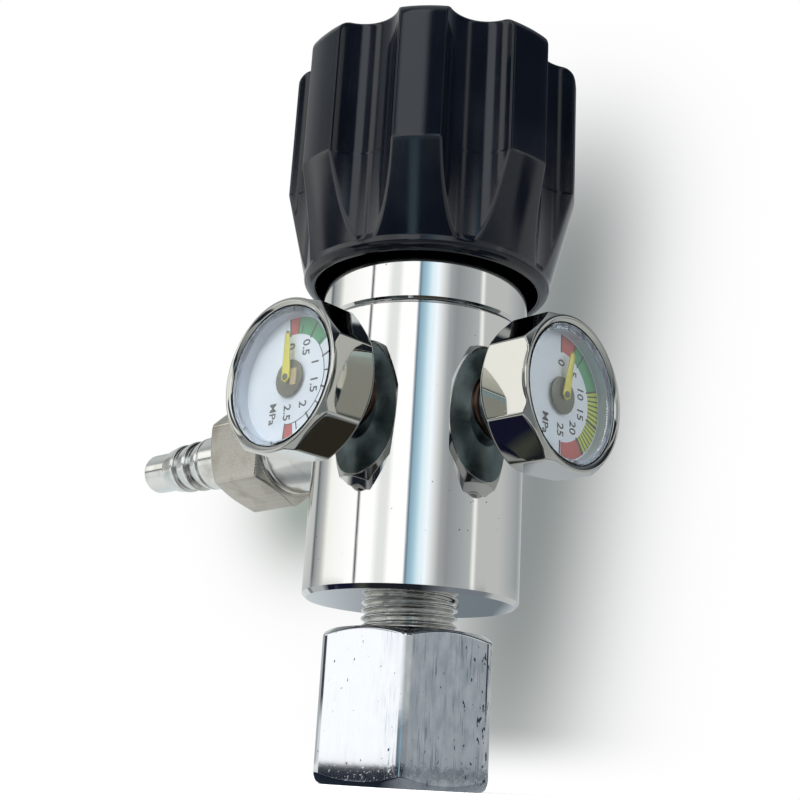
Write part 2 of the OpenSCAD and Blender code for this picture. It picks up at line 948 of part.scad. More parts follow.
module gauge_hub(bearing) {
    spindle_z = dial_front - dial_t - 0.6;
    color("darkolivegreen")
        at_port(bearing) {
            translate([0, 0, dial_front + 0.3])
                cylinder(r = hub_disc_r, h = hub_disc_t);
            translate([0, 0, spindle_z])
                cylinder(r = spindle_r, h = needle_z + needle_t + 0.2 - spindle_z, $fn = 32);
        }
}

echo(range_spring_gap = coil_gap(
    range_r, range_wire_r,
    spring_foot + range_wire_r + EPS, button_z - range_wire_r - EPS, range_turns
));
echo(poppet_spring_gap = coil_gap(
    poppet_spring_r, poppet_wire_r,
    chamber_z + poppet_wire_r + EPS, poppet_seat_z - poppet_wire_r - EPS, poppet_turns
));
echo(gauge_coil_gap = coil_gap(coil_r, coil_wire_r, coil_z0, coil_z1, coil_turns));

swivel_nut();
inlet_nipple();
inlet_gasket();
inlet_filter();
nipple_seal();
body();
nozzle();
nozzle_oring();
poppet();
poppet_disc();
poppet_spring();
piston();
piston_oring();
range_spring();
spring_button();
thrust_ball();
bonnet();
bonnet_oring();
adjusting_screw();
knob();
knob_insert();
knob_washer();
knob_bolt();
hose_tail();
outlet_washer();
gauge_case(LOW_PORT, LOW_CASE);  // low_case
gauge_washer(LOW_PORT);  // low_washer
gauge_coil(LOW_PORT);  // low_coil
gauge_dial(LOW_PORT);  // low_dial
gauge_spacer(LOW_PORT);  // low_spacer
gauge_lens(LOW_PORT);  // low_lens
gauge_needle(LOW_PORT, LOW_NEEDLE);  // low_needle
gauge_hub(LOW_PORT);  // low_hub
gauge_case(HIGH_PORT, HIGH_CASE);  // high_case
gauge_washer(HIGH_PORT);  // high_washer
gauge_coil(HIGH_PORT);  // high_coil
gauge_dial(HIGH_PORT);  // high_dial
gauge_spacer(HIGH_PORT);  // high_spacer
gauge_lens(HIGH_PORT);  // high_lens
gauge_needle(HIGH_PORT, HIGH_NEEDLE);  // high_needle
gauge_hub(HIGH_PORT);  // high_hub
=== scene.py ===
"""Cylinder pressure regulator with two gauges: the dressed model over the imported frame.

Lengths are in millimetres, except in finished meshes and in the nodes of floor and table, which count
in metres.
"""
import logging
import math
from dataclasses import dataclass, field
from enum import Enum, StrEnum
from functools import cache
from typing import Any, Sequence

import bpy
import numpy as np
from mathutils import Matrix, Vector


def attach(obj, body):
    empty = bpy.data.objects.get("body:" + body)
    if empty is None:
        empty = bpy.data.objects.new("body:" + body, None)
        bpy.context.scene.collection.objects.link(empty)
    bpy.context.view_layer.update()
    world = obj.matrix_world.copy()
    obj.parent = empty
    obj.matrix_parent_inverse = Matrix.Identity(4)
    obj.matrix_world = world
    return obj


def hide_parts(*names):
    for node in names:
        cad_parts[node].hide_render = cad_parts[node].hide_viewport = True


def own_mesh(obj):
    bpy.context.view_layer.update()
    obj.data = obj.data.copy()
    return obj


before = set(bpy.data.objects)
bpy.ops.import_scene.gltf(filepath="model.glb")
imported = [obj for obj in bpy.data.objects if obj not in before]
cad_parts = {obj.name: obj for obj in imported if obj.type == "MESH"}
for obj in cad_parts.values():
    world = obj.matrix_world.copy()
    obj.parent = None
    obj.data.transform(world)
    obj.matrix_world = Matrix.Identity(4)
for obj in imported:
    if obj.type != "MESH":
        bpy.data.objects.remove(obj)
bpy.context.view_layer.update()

MM = 0.001
CONE = math.tan(math.radians(30))  # how far a turned hexagon's end falls back for each millimetre outwards
Array = np.ndarray
Material = bpy.types.Material
Node, Socket, Tree = bpy.types.Node, bpy.types.NodeSocket, bpy.types.NodeTree
Marks = Sequence[tuple[float, str]]
log = logging.getLogger("regulator")


# ---------------------------------------------------------------- colours and nodes


def linear(code: str) -> tuple[float, float, float, float]:
    """Turns an sRGB hex colour into linear light.

    Args:
        code: colour such as "#a0b1c2".

    Returns:
        Red, green, blue and an alpha of 1.
    """
    parts = np.array([int(code[i : i + 2], 16) for i in (1, 3, 5)]) / 255.0
    light = np.where(parts <= 0.04045, parts / 12.92, ((parts + 0.055) / 1.055) ** 2.4)
    return (float(light[0]), float(light[1]), float(light[2]), 1.0)


def fill(tree: Tree, socket: Socket, value: Any) -> None:
    """Sets an input to a value or a hex colour, or links a socket or a node's first output into it.

    Args:
        tree: the node tree.
        socket: the input.
        value: what goes into it.
    """
    if isinstance(value, Node):
        value = next(output for output in value.outputs if output.enabled)
    if isinstance(value, Socket):
        tree.links.new(value, socket)
    else:
        socket.default_value = linear(value) if isinstance(value, str) else value


def add(tree: Tree, kind: str, *inputs: Any, named: dict[str, Any] | None = None, **settings: Any) -> Node:
    """Adds a node, sets its properties, and fills or links its inputs.

    Args:
        tree: the node tree to add to.
        kind: the node's type name without its "ShaderNode" prefix.
        inputs: what goes into the inputs that are in use, in their order.
        named: what goes into further inputs, by name.
        settings: properties of the node itself.

    Returns:
        The new node.
    """
    made = tree.nodes.new("ShaderNode" + kind)
    for key, value in settings.items():
        setattr(made, key, value)
    for socket, value in zip([socket for socket in made.inputs if socket.enabled], inputs):
        fill(tree, socket, value)
    for key, value in (named or {}).items():
        fill(tree, made.inputs[key], value)
    return made


def stops(ramp_node: Node, marks: Marks) -> Node:
    """Fills a colour ramp.

    Args:
        ramp_node: the colour ramp node.
        marks: places from 0 to 1 in rising order, each with its hex colour.

    Returns:
        The same node.
    """
    ramp = ramp_node.color_ramp
    while len(ramp.elements) > 1:
        ramp.elements.remove(ramp.elements[-1])
    ramp.elements[0].position, ramp.elements[0].color = marks[0][0], linear(marks[0][1])
    for place, code in marks[1:]:
        ramp.elements.new(place).color = linear(code)
    return ramp_node


def fade(tree: Tree, value: Any, start: float, end: float, first: Any, second: Any) -> Node:
    """One colour that turns into another while a value goes from start to end."""
    step = add(tree, "MapRange", value, start, end)
    return add(tree, "Mix", step, first, second, data_type="RGBA")


def grain(tree: Tree, mm: Node, size: float | Sequence[float], detail: float, low: float,
          high: float) -> Node:
    """Noise stretched to a grain of a real size, spread from 0 to 1 between two of its levels.

    Args:
        tree: the node tree.
        mm: the place in millimetres.
        size: the grain's size in millimetres, one for all or one each along X, Y and Z.
        detail: number of finer layers over it.
        low: the level that becomes 0.
        high: the level that becomes 1.

    Returns:
        The node that gives it.
    """
    scaled = add(tree, "VectorMath", mm, (1.0 / np.broadcast_to(size, 3)).tolist(), operation="MULTIPLY")
    raw = add(tree, "TexNoise", scaled, 1.0, detail)
    return add(tree, "MapRange", raw, low, high)


# ---------------------------------------------------------------- finishes


@dataclass(frozen=True)
class Finish:
    """A finish: base colour, roughness, metalness, and a pattern that a subclass draws."""

    name: str
    colour: str
    rough: float
    metal: float = 0.0

    def material(self) -> Material:
        """Builds the material: Principled, with the pattern read in millimetres from Object coordinates.

        Returns:
            The new material.
        """
        made = bpy.data.materials.new(self.name)
        made.use_nodes = True
        made.diffuse_color = linear(self.colour)
        tree = made.node_tree
        tree.nodes.clear()
        plain = {"Base Color": self.colour, "Metallic": self.metal, "Roughness": self.rough}
        shader = add(tree, "BsdfPrincipled", named=plain)
        where = add(tree, "TexCoord").outputs["Object"]
        mm = add(tree, "VectorMath", where, 1.0 / MM, operation="SCALE")
        for key, value in self.pattern(tree, mm).items():
            fill(tree, shader.inputs[key], value)
        add(tree, "OutputMaterial", shader)
        return made

    def pattern(self, tree: Tree, mm: Node) -> dict[str, Any]:
        """Draws the finish's own pattern; each subclass has one.

        Args:
            tree: the material's node tree.
            mm: the place in millimetres.

        Returns:
            What goes into the shader's inputs, by name.
        """
        raise NotImplementedError


@dataclass(frozen=True)
class Chrome(Finish):
    """Decorative chrome plate on machined brass.

    A clear mirror: the eye sees the room in it, very slightly wavy from polishing, with pinholes and
    hairline scratches that dull small spots.
    """

    name: str = "bright_chrome"
    colour: str = "#d0d0cf"
    rough: float = 0.03
    metal: float = 1.0
    wave: float = 0.0025
    hole: str = "#3c3e44"
    hole_rough: float = 0.35
    hair_rough: float = 0.12

    def pattern(self, tree: Tree, mm: Node) -> dict[str, Any]:
        """Polishing waves 4 mm across, pinholes 0.25 mm across and hairlines 0.12 mm wide.

        Holes and hairlines are finer on real plate, and drawn this coarse so that they show.

        Args:
            tree: the material's node tree.
            mm: the place in millimetres.

        Returns:
            What goes into the shader's inputs, by name.
        """
        waves = grain(tree, mm, (4.0, 4.0, 9.0), 2.0, 0.0, 1.0)
        hair = grain(tree, mm, (0.12, 0.12, 6.0), 4.0, 0.60, 0.72)
        spots = add(tree, "TexVoronoi", mm, 0.55, feature="F1")
        holes = add(tree, "MapRange", spots, 0.10, 0.05)
        patch = grain(tree, mm, 14.0, 2.0, 0.52, 0.66)
        holes = add(tree, "Math", holes, patch, operation="MULTIPLY")
        dull = add(tree, "Math", hair, self.hair_rough, self.rough, operation="MULTIPLY_ADD")
        dull = add(tree, "Math", holes, self.hole_rough, dull, operation="MULTIPLY_ADD")
        tone = add(tree, "Mix", holes, self.colour, self.hole, data_type="RGBA")
        rise = add(tree, "Bump", 1.0, self.wave * MM, named={"Height": waves})
        return {"Base Color": tone, "Roughness": dull, "Normal": rise}


@dataclass(frozen=True)
class WornChrome(Finish):
    """Chrome on a nut that spanners have scuffed.

    Mirror patches lie between cloudy scuffs and scratches along the axis, with nicks that show the dark
    nickel beneath, most of all near the corners. Towards +X the clouding is also painted shade.
    """

    name: str = "scuffed_chrome"
    colour: str = "#cbced2"
    rough: float = 0.035
    metal: float = 1.0
    wave: float = 0.0035
    clouded: str = "#b0b6bd"
    scratched: str = "#7f8690"
    nicked: str = "#3b4657"
    scratch_rough: float = 0.22

    def pattern(self, tree: Tree, mm: Node) -> dict[str, Any]:
        """Clouding 1.5 mm across, upright scratches 0.3 mm wide and nicks 0.5 mm across.

        All of it is heavier on the +X side, where the extra clouding and scratches are wear and also painted
        shade of the dimmer side, and small pits lie along the foot.

        Args:
            tree: the material's node tree.
            mm: the place in millimetres.

        Returns:
            What goes into the shader's inputs, by name.
        """
        x, _, z = add(tree, "SeparateXYZ", mm).outputs
        # side: more clouding and scratches towards +X, as wear and as painted shade of the nut's dimmer right
        # flats
        side = add(tree, "MapRange", x, -6.0, 3.0, 0.08, 1.0)
        edge = add(tree, "MapRange", x, 7.0, 13.0, 0.0, 0.09)
        clouding_and_shade = grain(tree, mm, (1.4, 1.4, 3.2), 6.0, 0.35, 0.68)
        clouding_and_shade = add(tree, "Math", clouding_and_shade, side, operation="MULTIPLY")
        patch = grain(tree, mm, (3.0, 3.0, 9.0), 2.0, 0.40, 0.62)
        scratch = grain(tree, mm, (0.3, 0.3, 6.0), 4.0, 0.54, 0.66)
        scratch = add(tree, "Math", scratch, patch, operation="MULTIPLY")
        scratches_and_shade = add(tree, "Math", scratch, side, operation="MULTIPLY")
        nick = add(tree, "VectorMath", mm, (1.4, 1.4, 0.6), operation="MULTIPLY")
        nick = add(tree, "TexNoise", nick, 1.0, 3.0)
        nick = add(tree, "Math", nick, edge, operation="ADD")
        nick = add(tree, "MapRange", nick, 0.70, 0.73)
        dull = add(tree, "Math", scratches_and_shade, self.scratch_rough, self.rough, operation="MULTIPLY_ADD")
        tone = self.colour
        for amount, worn in ((clouding_and_shade, self.clouded), (scratches_and_shade, self.scratched), (nick, self.nicked)):
            tone = add(tree, "Mix", amount, tone, worn, data_type="RGBA")
        foot = add(tree, "MapRange", z, 3.2, 2.8, 0.0, 0.5)
        dents = grain(tree, mm, 0.5, 2.0, 0.64, 0.70)
        dents = add(tree, "Math", dents, foot, clouding_and_shade, operation="MULTIPLY_ADD")
        dents = add(tree, "Math", dents, nick, operation="SUBTRACT")
        rise = add(tree, "Bump", 1.0, self.wave * MM, named={"Height": dents})
        return {"Base Color": tone, "Roughness": dull, "Normal": rise}


@dataclass(frozen=True)
class Machined(Finish):
    """Turned metal: brass, steel, bronze, copper or nickel plate over them.

    Fine tool lines run round the axis, so the gloss is drawn out across them, and handling leaves
    darker patches.
    """

    metal: float = 1.0
    stain: str = "#6b6558"
    line: float = 0.18
    depth: float = 0.0015
    uneven: float = 0.15

    def pattern(self, tree: Tree, mm: Node) -> dict[str, Any]:
        """Tool lines one feed apart along Z, drawn a little coarse, and stains 5 mm across.

        Args:
            tree: the material's node tree.
            mm: the place in millimetres.

        Returns:
            What goes into the shader's inputs, by name.
        """
        lines = grain(tree, mm, (9.0, 9.0, self.line), 3.0, 0.3, 0.7)
        stains = grain(tree, mm, 5.0, 5.0, 0.5, 0.75)
        tone = add(tree, "Mix", stains, self.colour, self.stain, data_type="RGBA")
        least, most = self.rough * (1 - self.uneven), self.rough * (1 + self.uneven)
        dull = add(tree, "MapRange", lines, 0.0, 1.0, least, most)
        rise = add(tree, "Bump", 1.0, self.depth * MM, named={"Height": lines})
        return {"Base Color": tone, "Roughness": dull, "Normal": rise}


@dataclass(frozen=True)
class Moulded(Finish):
    """Injection-moulded plastic or rubber.

    A faint grain breaks the gloss up, with rubbed lighter places and fine hairlines where hands have
    been. The gloss is set by the resin's index.
    """

    rubbed: str = "#2c2f38"
    grain: float = 0.35
    depth: float = 0.006
    index: float = 1.47
    rub_rough: float = 0.08
    hair_rough: float = 0.15

    def pattern(self, tree: Tree, mm: Node) -> dict[str, Any]:
        """Spark-eroded grain 0.35 mm across, rubbed places 12 mm across and hairlines 0.2 mm wide.

        Args:
            tree: the material's node tree.
            mm: the place in millimetres.

        Returns:
            What goes into the shader's inputs, by name.
        """
        pits = grain(tree, mm, self.grain, 2.0, 0.35, 0.65)
        worn = grain(tree, mm, (12.0, 12.0, 18.0), 4.0, 0.45, 0.75)
        hair = grain(tree, mm, (0.2, 6.0, 3.0), 3.0, 0.66, 0.74)
        mark = add(tree, "Math", worn, 0.35, operation="MULTIPLY")
        tone = add(tree, "Mix", mark, self.colour, self.rubbed, data_type="RGBA")
        dull = add(tree, "Math", worn, self.rub_rough, self.rough, operation="MULTIPLY_ADD")
        dull = add(tree, "Math", hair, self.hair_rough, dull, operation="MULTIPLY_ADD")
        rise = add(tree, "Bump", 1.0, self.depth * MM, named={"Height": pits})
        return {"Base Color": tone, "Roughness": dull, "IOR": self.index, "Normal": rise}


@dataclass(frozen=True)
class Printed(Finish):
    """Ink or lacquer on a flat card or pointer: even, faintly speckled, with a low sheen."""

    speck: str = "#8f949c"
    depth: float = 0.002

    def pattern(self, tree: Tree, mm: Node) -> dict[str, Any]:
        """Print dots 0.1 mm across, drawn at 0.15 mm, and a slow change of tone over 8 mm.

        Args:
            tree: the material's node tree.
            mm: the place in millimetres.

        Returns:
            What goes into the shader's inputs, by name.
        """
        dots = grain(tree, mm, 0.15, 2.0, 0.6, 0.9)
        slow = grain(tree, mm, 8.0, 2.0, 0.3, 0.8)
        mark = add(tree, "Math", dots, 0.10, operation="MULTIPLY")
        mark = add(tree, "Math", slow, 0.06, mark, operation="MULTIPLY_ADD")
        tone = add(tree, "Mix", mark, self.colour, self.speck, data_type="RGBA")
        rise = add(tree, "Bump", 1.0, self.depth * MM, named={"Height": dots})
        return {"Base Color": tone, "Normal": rise}


@dataclass(frozen=True)
class ClearLens(Finish):
    """Moulded clear plastic window.

    It shows the dial almost unchanged, with a soft shine of the room over it and faint rub marks.
    """

    name: str = "clear_lens"
    colour: str = "#f4f8fa"
    rough: float = 0.0
    rub_rough: float = 0.012
    index: float = 1.45

    def pattern(self, tree: Tree, mm: Node) -> dict[str, Any]:
        """Rub marks 2 mm across change the gloss only.

        Args:
            tree: the material's node tree.
            mm: the place in millimetres.

        Returns:
            What goes into the shader's inputs, by name.
        """
        rub = grain(tree, mm, (2.0, 2.0, 0.6), 4.0, 0.5, 0.8)
        dull = add(tree, "MapRange", rub, 0.0, 1.0, self.rough, self.rough + self.rub_rough)
        return {"Transmission Weight": 1.0, "IOR": self.index, "Roughness": dull}


class Kind(Enum):
    """Every finish on the regulator."""

    CHROME = Chrome()
    CASE = Chrome("gauge_chrome", "#bfbeb8", wave=0.004)
    NUT = WornChrome()
    NICKEL = Machined("satin_nickel", "#bcb8af", 0.28, stain="#a39c91", line=0.25, depth=0.0004)
    TURNED_NICKEL = Machined("turned_nickel", "#d6d6d3", 0.17, stain="#b4b1aa")
    CASE_BACK = Machined("plain_case_back", "#7f8b8c", 0.32, stain="#5a6668", line=0.3)
    STEEL = Machined("turned_steel", "#b9bbbe", 0.28)
    SPRING = Machined("drawn_spring_wire", "#7a7d82", 0.35, line=0.6)
    BLACK_OXIDE = Machined("black_oxide_steel", "#2a2a2e", 0.38, stain="#55504a")
    BRASS = Machined("turned_brass", "#c9a866", 0.26, stain="#8a6c3a")
    # dark brown copper: tarnish, and painted shade of washers that sit in dim gaps between parts
    COPPER = Machined("tarnished_shaded_copper", "#6b5348", 0.38, stain="#46302a", line=0.5)
    BRONZE = Machined("sintered_bronze", "#8d6f47", 0.6, stain="#54402a", line=0.12, depth=0.05)
    RUBBER = Moulded("nitrile_rubber", "#17171a", 0.55, grain=0.12, rubbed="#303034")
    WHITE = Moulded("turned_white_plastic", "#e6e5e0", 0.4, rubbed="#cfcdc4")
    FIBRE = Moulded("pressed_grey_fibre", "#5d5e60", 0.6, rubbed="#7a7a78", depth=0.02)
    KNOB = Moulded("moulded_black_plastic", "#060910", 0.08, rubbed="#141820", depth=0.0015)
    CARD = Printed("printed_white_card", "#eef1f7", 0.5)
    SPACER = Printed("grey_lacquer_ring", "#c3cddb", 0.35)
    POINTER = Printed("yellow_lacquer", "#e3d43a", 0.35, speck="#a8952a")
    HUB = Printed("olive_lacquer", "#5a5a44", 0.4, speck="#33332a")
    SLOT = Printed("beige_lacquer", "#c3ad7c", 0.4, speck="#7d6c48")
    INK_BLACK = Printed("black_ink", "#1b1c20", 0.45, speck="#45464a")
    INK_RED = Printed("red_ink", "#c2453f", 0.45, speck="#8e2f2c")
    INK_GREEN = Printed("green_ink", "#3f9a63", 0.45, speck="#2b6b46")
    INK_LIME = Printed("lime_ink", "#c6d23e", 0.45, speck="#8f9a2a")
    LENS = ClearLens()


@cache
def material(kind: Kind) -> Material:
    """The material of a finish, made on its first use."""
    return kind.value.material()


def palette(*kinds: Kind) -> list[Material]:
    """The materials of these finishes, in order."""
    return [material(kind) for kind in kinds]


# ---------------------------------------------------------------- surfaces


def curve(t: Array, start: Array, corner: Array, end: Array) -> Array:
    """The curve (1-t)^2 A + 2t(1-t) P + t^2 B from A to B, drawn towards the corner P."""
    return (1 - t) ** 2 * start + 2 * t * (1 - t) * corner + t**2 * end


def fillet(path: Array, reach: float | Sequence[float], steps: int = 3, closed: bool = False) -> Array:
    """Rounds the corners of one polyline or of many at once.

    Each corner gives way to a curve between two points that lie on its sides at the reach from it, or
    half way along a side that is shorter.

    Args:
        path: points, shaped (..., count, 2).
        reach: distance of the curve's ends from the corner, one value or one for each rounded corner.
        steps: pieces in each rounded corner.
        closed: whether the last point is joined to the first.

    Returns:
        The rounded points, shaped (..., more, 2).
    """
    if closed:
        before, corner, after = np.roll(path, 1, -2), path, np.roll(path, -1, -2)
    else:
        before, corner, after = path[..., :-2, :], path[..., 1:-1, :], path[..., 2:, :]
    far = np.broadcast_to(np.asarray(reach, float), corner.shape[:-1])[..., None]

    def toward(other: Array) -> Array:
        """The points at the reach on the sides that go to other corners.

        Args:
            other: the corners that the sides lead to.

        Returns:
            Points of shape (..., 1, 2), none past the middle of its side.
        """
        side = other - corner
        length = np.maximum(np.linalg.norm(side, axis=-1, keepdims=True), 1e-9)
        return (corner + side * np.minimum(far / length, 0.49))[..., None, :]

    t = np.linspace(0.0, 1.0, steps + 1)[:, None]
    arc = curve(t, toward(before), corner[..., None, :], toward(after)).reshape(*path.shape[:-2], -1, 2)
    return arc if closed else np.concatenate([path[..., :1, :], arc, path[..., -1:, :]], axis=-2)


def outline(corners: Array, reach: float, arc_steps: int = 3, side_steps: int = 12) -> Array:
    """Outline of a polygon with rounded corners and evenly divided sides.

    Args:
        corners: the polygon's corners, shaped (count, 2), anticlockwise.
        reach: how far the rounding starts from each corner.
        arc_steps: pieces in a rounded corner.
        side_steps: pieces in a straight side.

    Returns:
        Points round the outline, shaped (many, 2).
    """
    arcs = fillet(corners, reach, arc_steps, closed=True).reshape(len(corners), arc_steps + 1, 2)
    start, end = arcs[:, -1:, :], np.roll(arcs, -1, 0)[:, :1, :]
    t = np.linspace(0.0, 1.0, side_steps + 1)[1:-1][None, :, None]
    return np.concatenate([arcs, start + (end - start) * t], axis=1).reshape(-1, 2)


def polygon(across: float, sides: int, turn: float = 0.0) -> Array:
    """Corners of a regular polygon, given its width across flats and its turn in degrees."""
    a = np.radians(turn + (np.arange(sides) + 0.5) * 360.0 / sides)
    return np.stack([np.cos(a), np.sin(a)], -1) * across / 2 / math.cos(math.pi / sides)


def polar(points: Array) -> tuple[Array, Array]:
    """Angle and distance of (x, y) points from the axis."""
    return np.arctan2(points[:, 1], points[:, 0]), np.hypot(points[:, 0], points[:, 1])


def spun(x: Array, y: Array, angle: float) -> Array:
    """Points (x, y) turned about the axis: (x cos b - y sin b, x sin b + y cos b)."""
    c, s = math.cos(angle), math.sin(angle)
    return np.stack([x * c - y * s, x * s + y * c], -1)


def circle_angles(count: int) -> Array:
    """Evenly spaced angles round a full turn, in radians."""
    return np.arange(count) * 2 * math.pi / count


def profiles(columns: int, *points: tuple[float | Array, float | Array]) -> Array:
    """Profiles that change with the angle.

    Args:
        columns: number of angles.
        points: (r, z) points whose parts are a number, or one value for each angle.

    Returns:
        The profiles, shaped (columns, count, 2).
    """
    return np.stack([np.stack([np.broadcast_to(part, columns) for part in point], -1) for point in points], 1)


def joined(columns: int, *parts: Array) -> Array:
    """Joins profiles end to end, repeating for each column those that are the same all round."""
    return np.concatenate([np.broadcast_to(part, (columns, *part.shape[-2:])) for part in parts], axis=1)


def thread(a: Array, z: Array, pitch: float, foot: float, depth: float | Array) -> Array:
    """Profile of a thread for each column, r = foot + depth w.

    The wave w is 1.5 |2 frac(z / pitch - a / 2 pi) - 1| - 0.25, held between 0 and 1, which gives the
    flats on crest and root.

    Args:
        a: angle of each column, in radians.
        z: height of each row.
        pitch: rise in one turn.
        foot: least radius.
        depth: what the wave adds to it, one value or one for each row.

    Returns:
        (r, z) points, shaped (columns, rows, 2).
    """
    wave = np.abs(2 * np.mod(z / pitch - a[:, None] / (2 * math.pi), 1.0) - 1)
    r = foot + depth * np.clip(1.5 * wave - 0.25, 0.0, 1.0)
    return np.stack([r, np.broadcast_to(z, r.shape)], -1)


def turned(angles: Array, profile: Array) -> Array:
    """A profile carried round the axis: each point (r, z) at angle a goes to (r cos a, r sin a, z).

    Args:
        angles: angle of each column, in radians.
        profile: (r, z) points, shaped (count, 2), or (columns, count, 2) where they change with the angle.

    Returns:
        Grid of points, shaped (count, columns, 3).
    """
    shape = np.broadcast_to(profile, (len(angles), *profile.shape[-2:]))
    r, z = shape[..., 0].T, shape[..., 1].T
    return np.stack([r * np.cos(angles), r * np.sin(angles), z], -1)


class Skin:
    """Grids of points that are welded into one mesh, with a material number for each face."""

    def __init__(self) -> None:
        """Starts with nothing in it."""
        self.points = np.zeros((0, 3))
        self.quads = np.zeros((0, 4), int)
        self.tints = np.zeros(0, int)

    def grid(self, points: Array, wrap_rows: bool = False, wrap_cols: bool = False,
             tint: int | Array = 0) -> "Skin":
        """Adds a grid of points joined by four-sided faces.

        Args:
            points: shaped (rows, columns, 3).
            wrap_rows: join the last row to the first.
            wrap_cols: join the last column to the first.
            tint: material number of these faces, one for all or one for each row of faces.

        Returns:
            The skin itself.
        """
        rows, cols = points.shape[:2]
        index = np.arange(rows * cols).reshape(rows, cols) + len(self.points)
        if wrap_rows:
            index = np.vstack([index, index[:1]])
        if wrap_cols:
            index = np.hstack([index, index[:, :1]])
        quads = np.stack([index[:-1, :-1], index[:-1, 1:], index[1:, 1:], index[1:, :-1]], -1).reshape(-1, 4)
        tints = np.broadcast_to(np.reshape(tint, (-1, 1)), (index.shape[0] - 1, index.shape[1] - 1)).ravel()
        self.points = np.vstack([self.points, points.reshape(-1, 3)])
        self.quads = np.vstack([self.quads, quads])
        self.tints = np.concatenate([self.tints, tints])
        return self

    def bar(self, path: Array, tint: int = 0) -> "Skin":
        """Adds a closed four-sided bar.

        Args:
            path: the bar's section at each step, shaped (steps, 4, 3).
            tint: material number.

        Returns:
            The skin itself.
        """
        self.grid(path, wrap_cols=True, tint=tint)
        for corner in (path[0, ::-1], path[-1]):
            self.grid(np.stack([corner[[0, 1]], corner[[3, 2]]]), tint=tint)
        return self

    def join(self, other: "Skin") -> "Skin":
        """Adds another skin's faces.

        Args:
            other: the skin to add.

        Returns:
            The skin itself.
        """
        self.quads = np.vstack([self.quads, other.quads + len(self.points)])
        self.points = np.vstack([self.points, other.points])
        self.tints = np.concatenate([self.tints, other.tints])
        return self

    def outward(self) -> "Skin":
        """Turns the faces round if the volume, the sum of p0 . (p1 x p2) / 6 over triangles, is negative.

        Returns:
            The skin itself.
        """
        p = self.points[self.quads]
        volume = np.einsum("ij,ij->", p[:, 0], np.cross(p[:, 1], p[:, 2]) + np.cross(p[:, 2], p[:, 3]))
        if volume < 0:
            self.quads = self.quads[:, ::-1]
        return self

    def moved(self, matrix: Array) -> "Skin":
        """Carries the points through a 4 x 4 matrix."""
        self.points = self.points @ matrix[:3, :3].T + matrix[:3, 3]
        return self

    def object(self, name: str, materials: Sequence[Material], crease: float = 38.0) -> bpy.types.Object:
        """Writes the mesh in metres, with normals weighted by face area so that wide faces shade flat.

        Args:
            name: the object's name.
            materials: materials in the order of the material numbers.
            crease: degrees between a face and the blended normal past which the face keeps its own.

        Returns:
            The new object, linked to the scene.
        """
        spots, place = np.unique(np.round(self.points, 4), axis=0, return_inverse=True)
        quads = place.reshape(-1)[self.quads]
        same = quads == np.roll(quads, -1, axis=1)
        crossed = (quads[:, 0] == quads[:, 2]) | (quads[:, 1] == quads[:, 3])
        whole = (same.sum(1) == 0) & ~crossed
        thin = (same.sum(1) == 1) & ~crossed
        keep = np.argsort(same[thin], axis=1, kind="stable")[:, :3]
        fours, threes = quads[whole], np.take_along_axis(quads[thin], np.sort(keep, axis=1), axis=1)
        corners = np.concatenate([fours.ravel(), threes.ravel()])
        sizes = np.repeat([4, 3], [len(fours), len(threes)])
        mesh = bpy.data.meshes.new(name)
        mesh.vertices.add(len(spots))
        mesh.vertices.foreach_set("co", (spots * MM).ravel())
        mesh.loops.add(len(corners))
        mesh.loops.foreach_set("vertex_index", corners)
        mesh.polygons.add(len(sizes))
        mesh.polygons.foreach_set("loop_start", np.cumsum(sizes) - sizes)
        mesh.polygons.foreach_set("material_index", np.concatenate([self.tints[whole], self.tints[thin]]))
        mesh.polygons.foreach_set("use_smooth", np.ones(len(sizes), bool))
        mesh.update(calc_edges=True)
        for finish in materials:
            mesh.materials.append(finish)
        p, q = spots[fours], spots[threes]
        face = np.concatenate([np.cross(p[:, 2] - p[:, 0], p[:, 3] - p[:, 1]),
                               np.cross(q[:, 1] - q[:, 0], q[:, 2] - q[:, 0])])
        own = np.repeat(face, sizes, axis=0)
        blended = np.stack([np.bincount(corners, own[:, k], len(spots)) for k in range(3)], -1)[corners]
        blended /= np.maximum(np.linalg.norm(blended, axis=1, keepdims=True), 1e-12)
        own /= np.maximum(np.linalg.norm(own, axis=1, keepdims=True), 1e-12)
        near = np.einsum("ij,ij->i", blended, own) > math.cos(math.radians(crease))
        mesh.normals_split_custom_set(np.where(near[:, None], blended, own).tolist())
        return linked(name, mesh)


def linked(name: str, data: bpy.types.ID) -> bpy.types.Object:
    """Makes an object of a mesh, lamp, camera or text and links it to the scene.

    Args:
        name: the object's name.
        data: what it shows.

    Returns:
        The new object.
    """
    made = bpy.data.objects.new(name, data)
    bpy.context.collection.objects.link(made)
    return made


def revolved(a: Array, profile: Array, tint: int | Array = 0) -> Skin:
    """Closed ring of a profile that goes round the axis and comes back to its own start.

    Args:
        a: angle of each column, in radians.
        profile: (r, z) points, shaped (count, 2) or (columns, count, 2).
        tint: material number, one for all or one for each point of the profile.

    Returns:
        The closed skin.
    """
    return Skin().grid(turned(a, profile), wrap_rows=True, wrap_cols=True, tint=tint).outward()


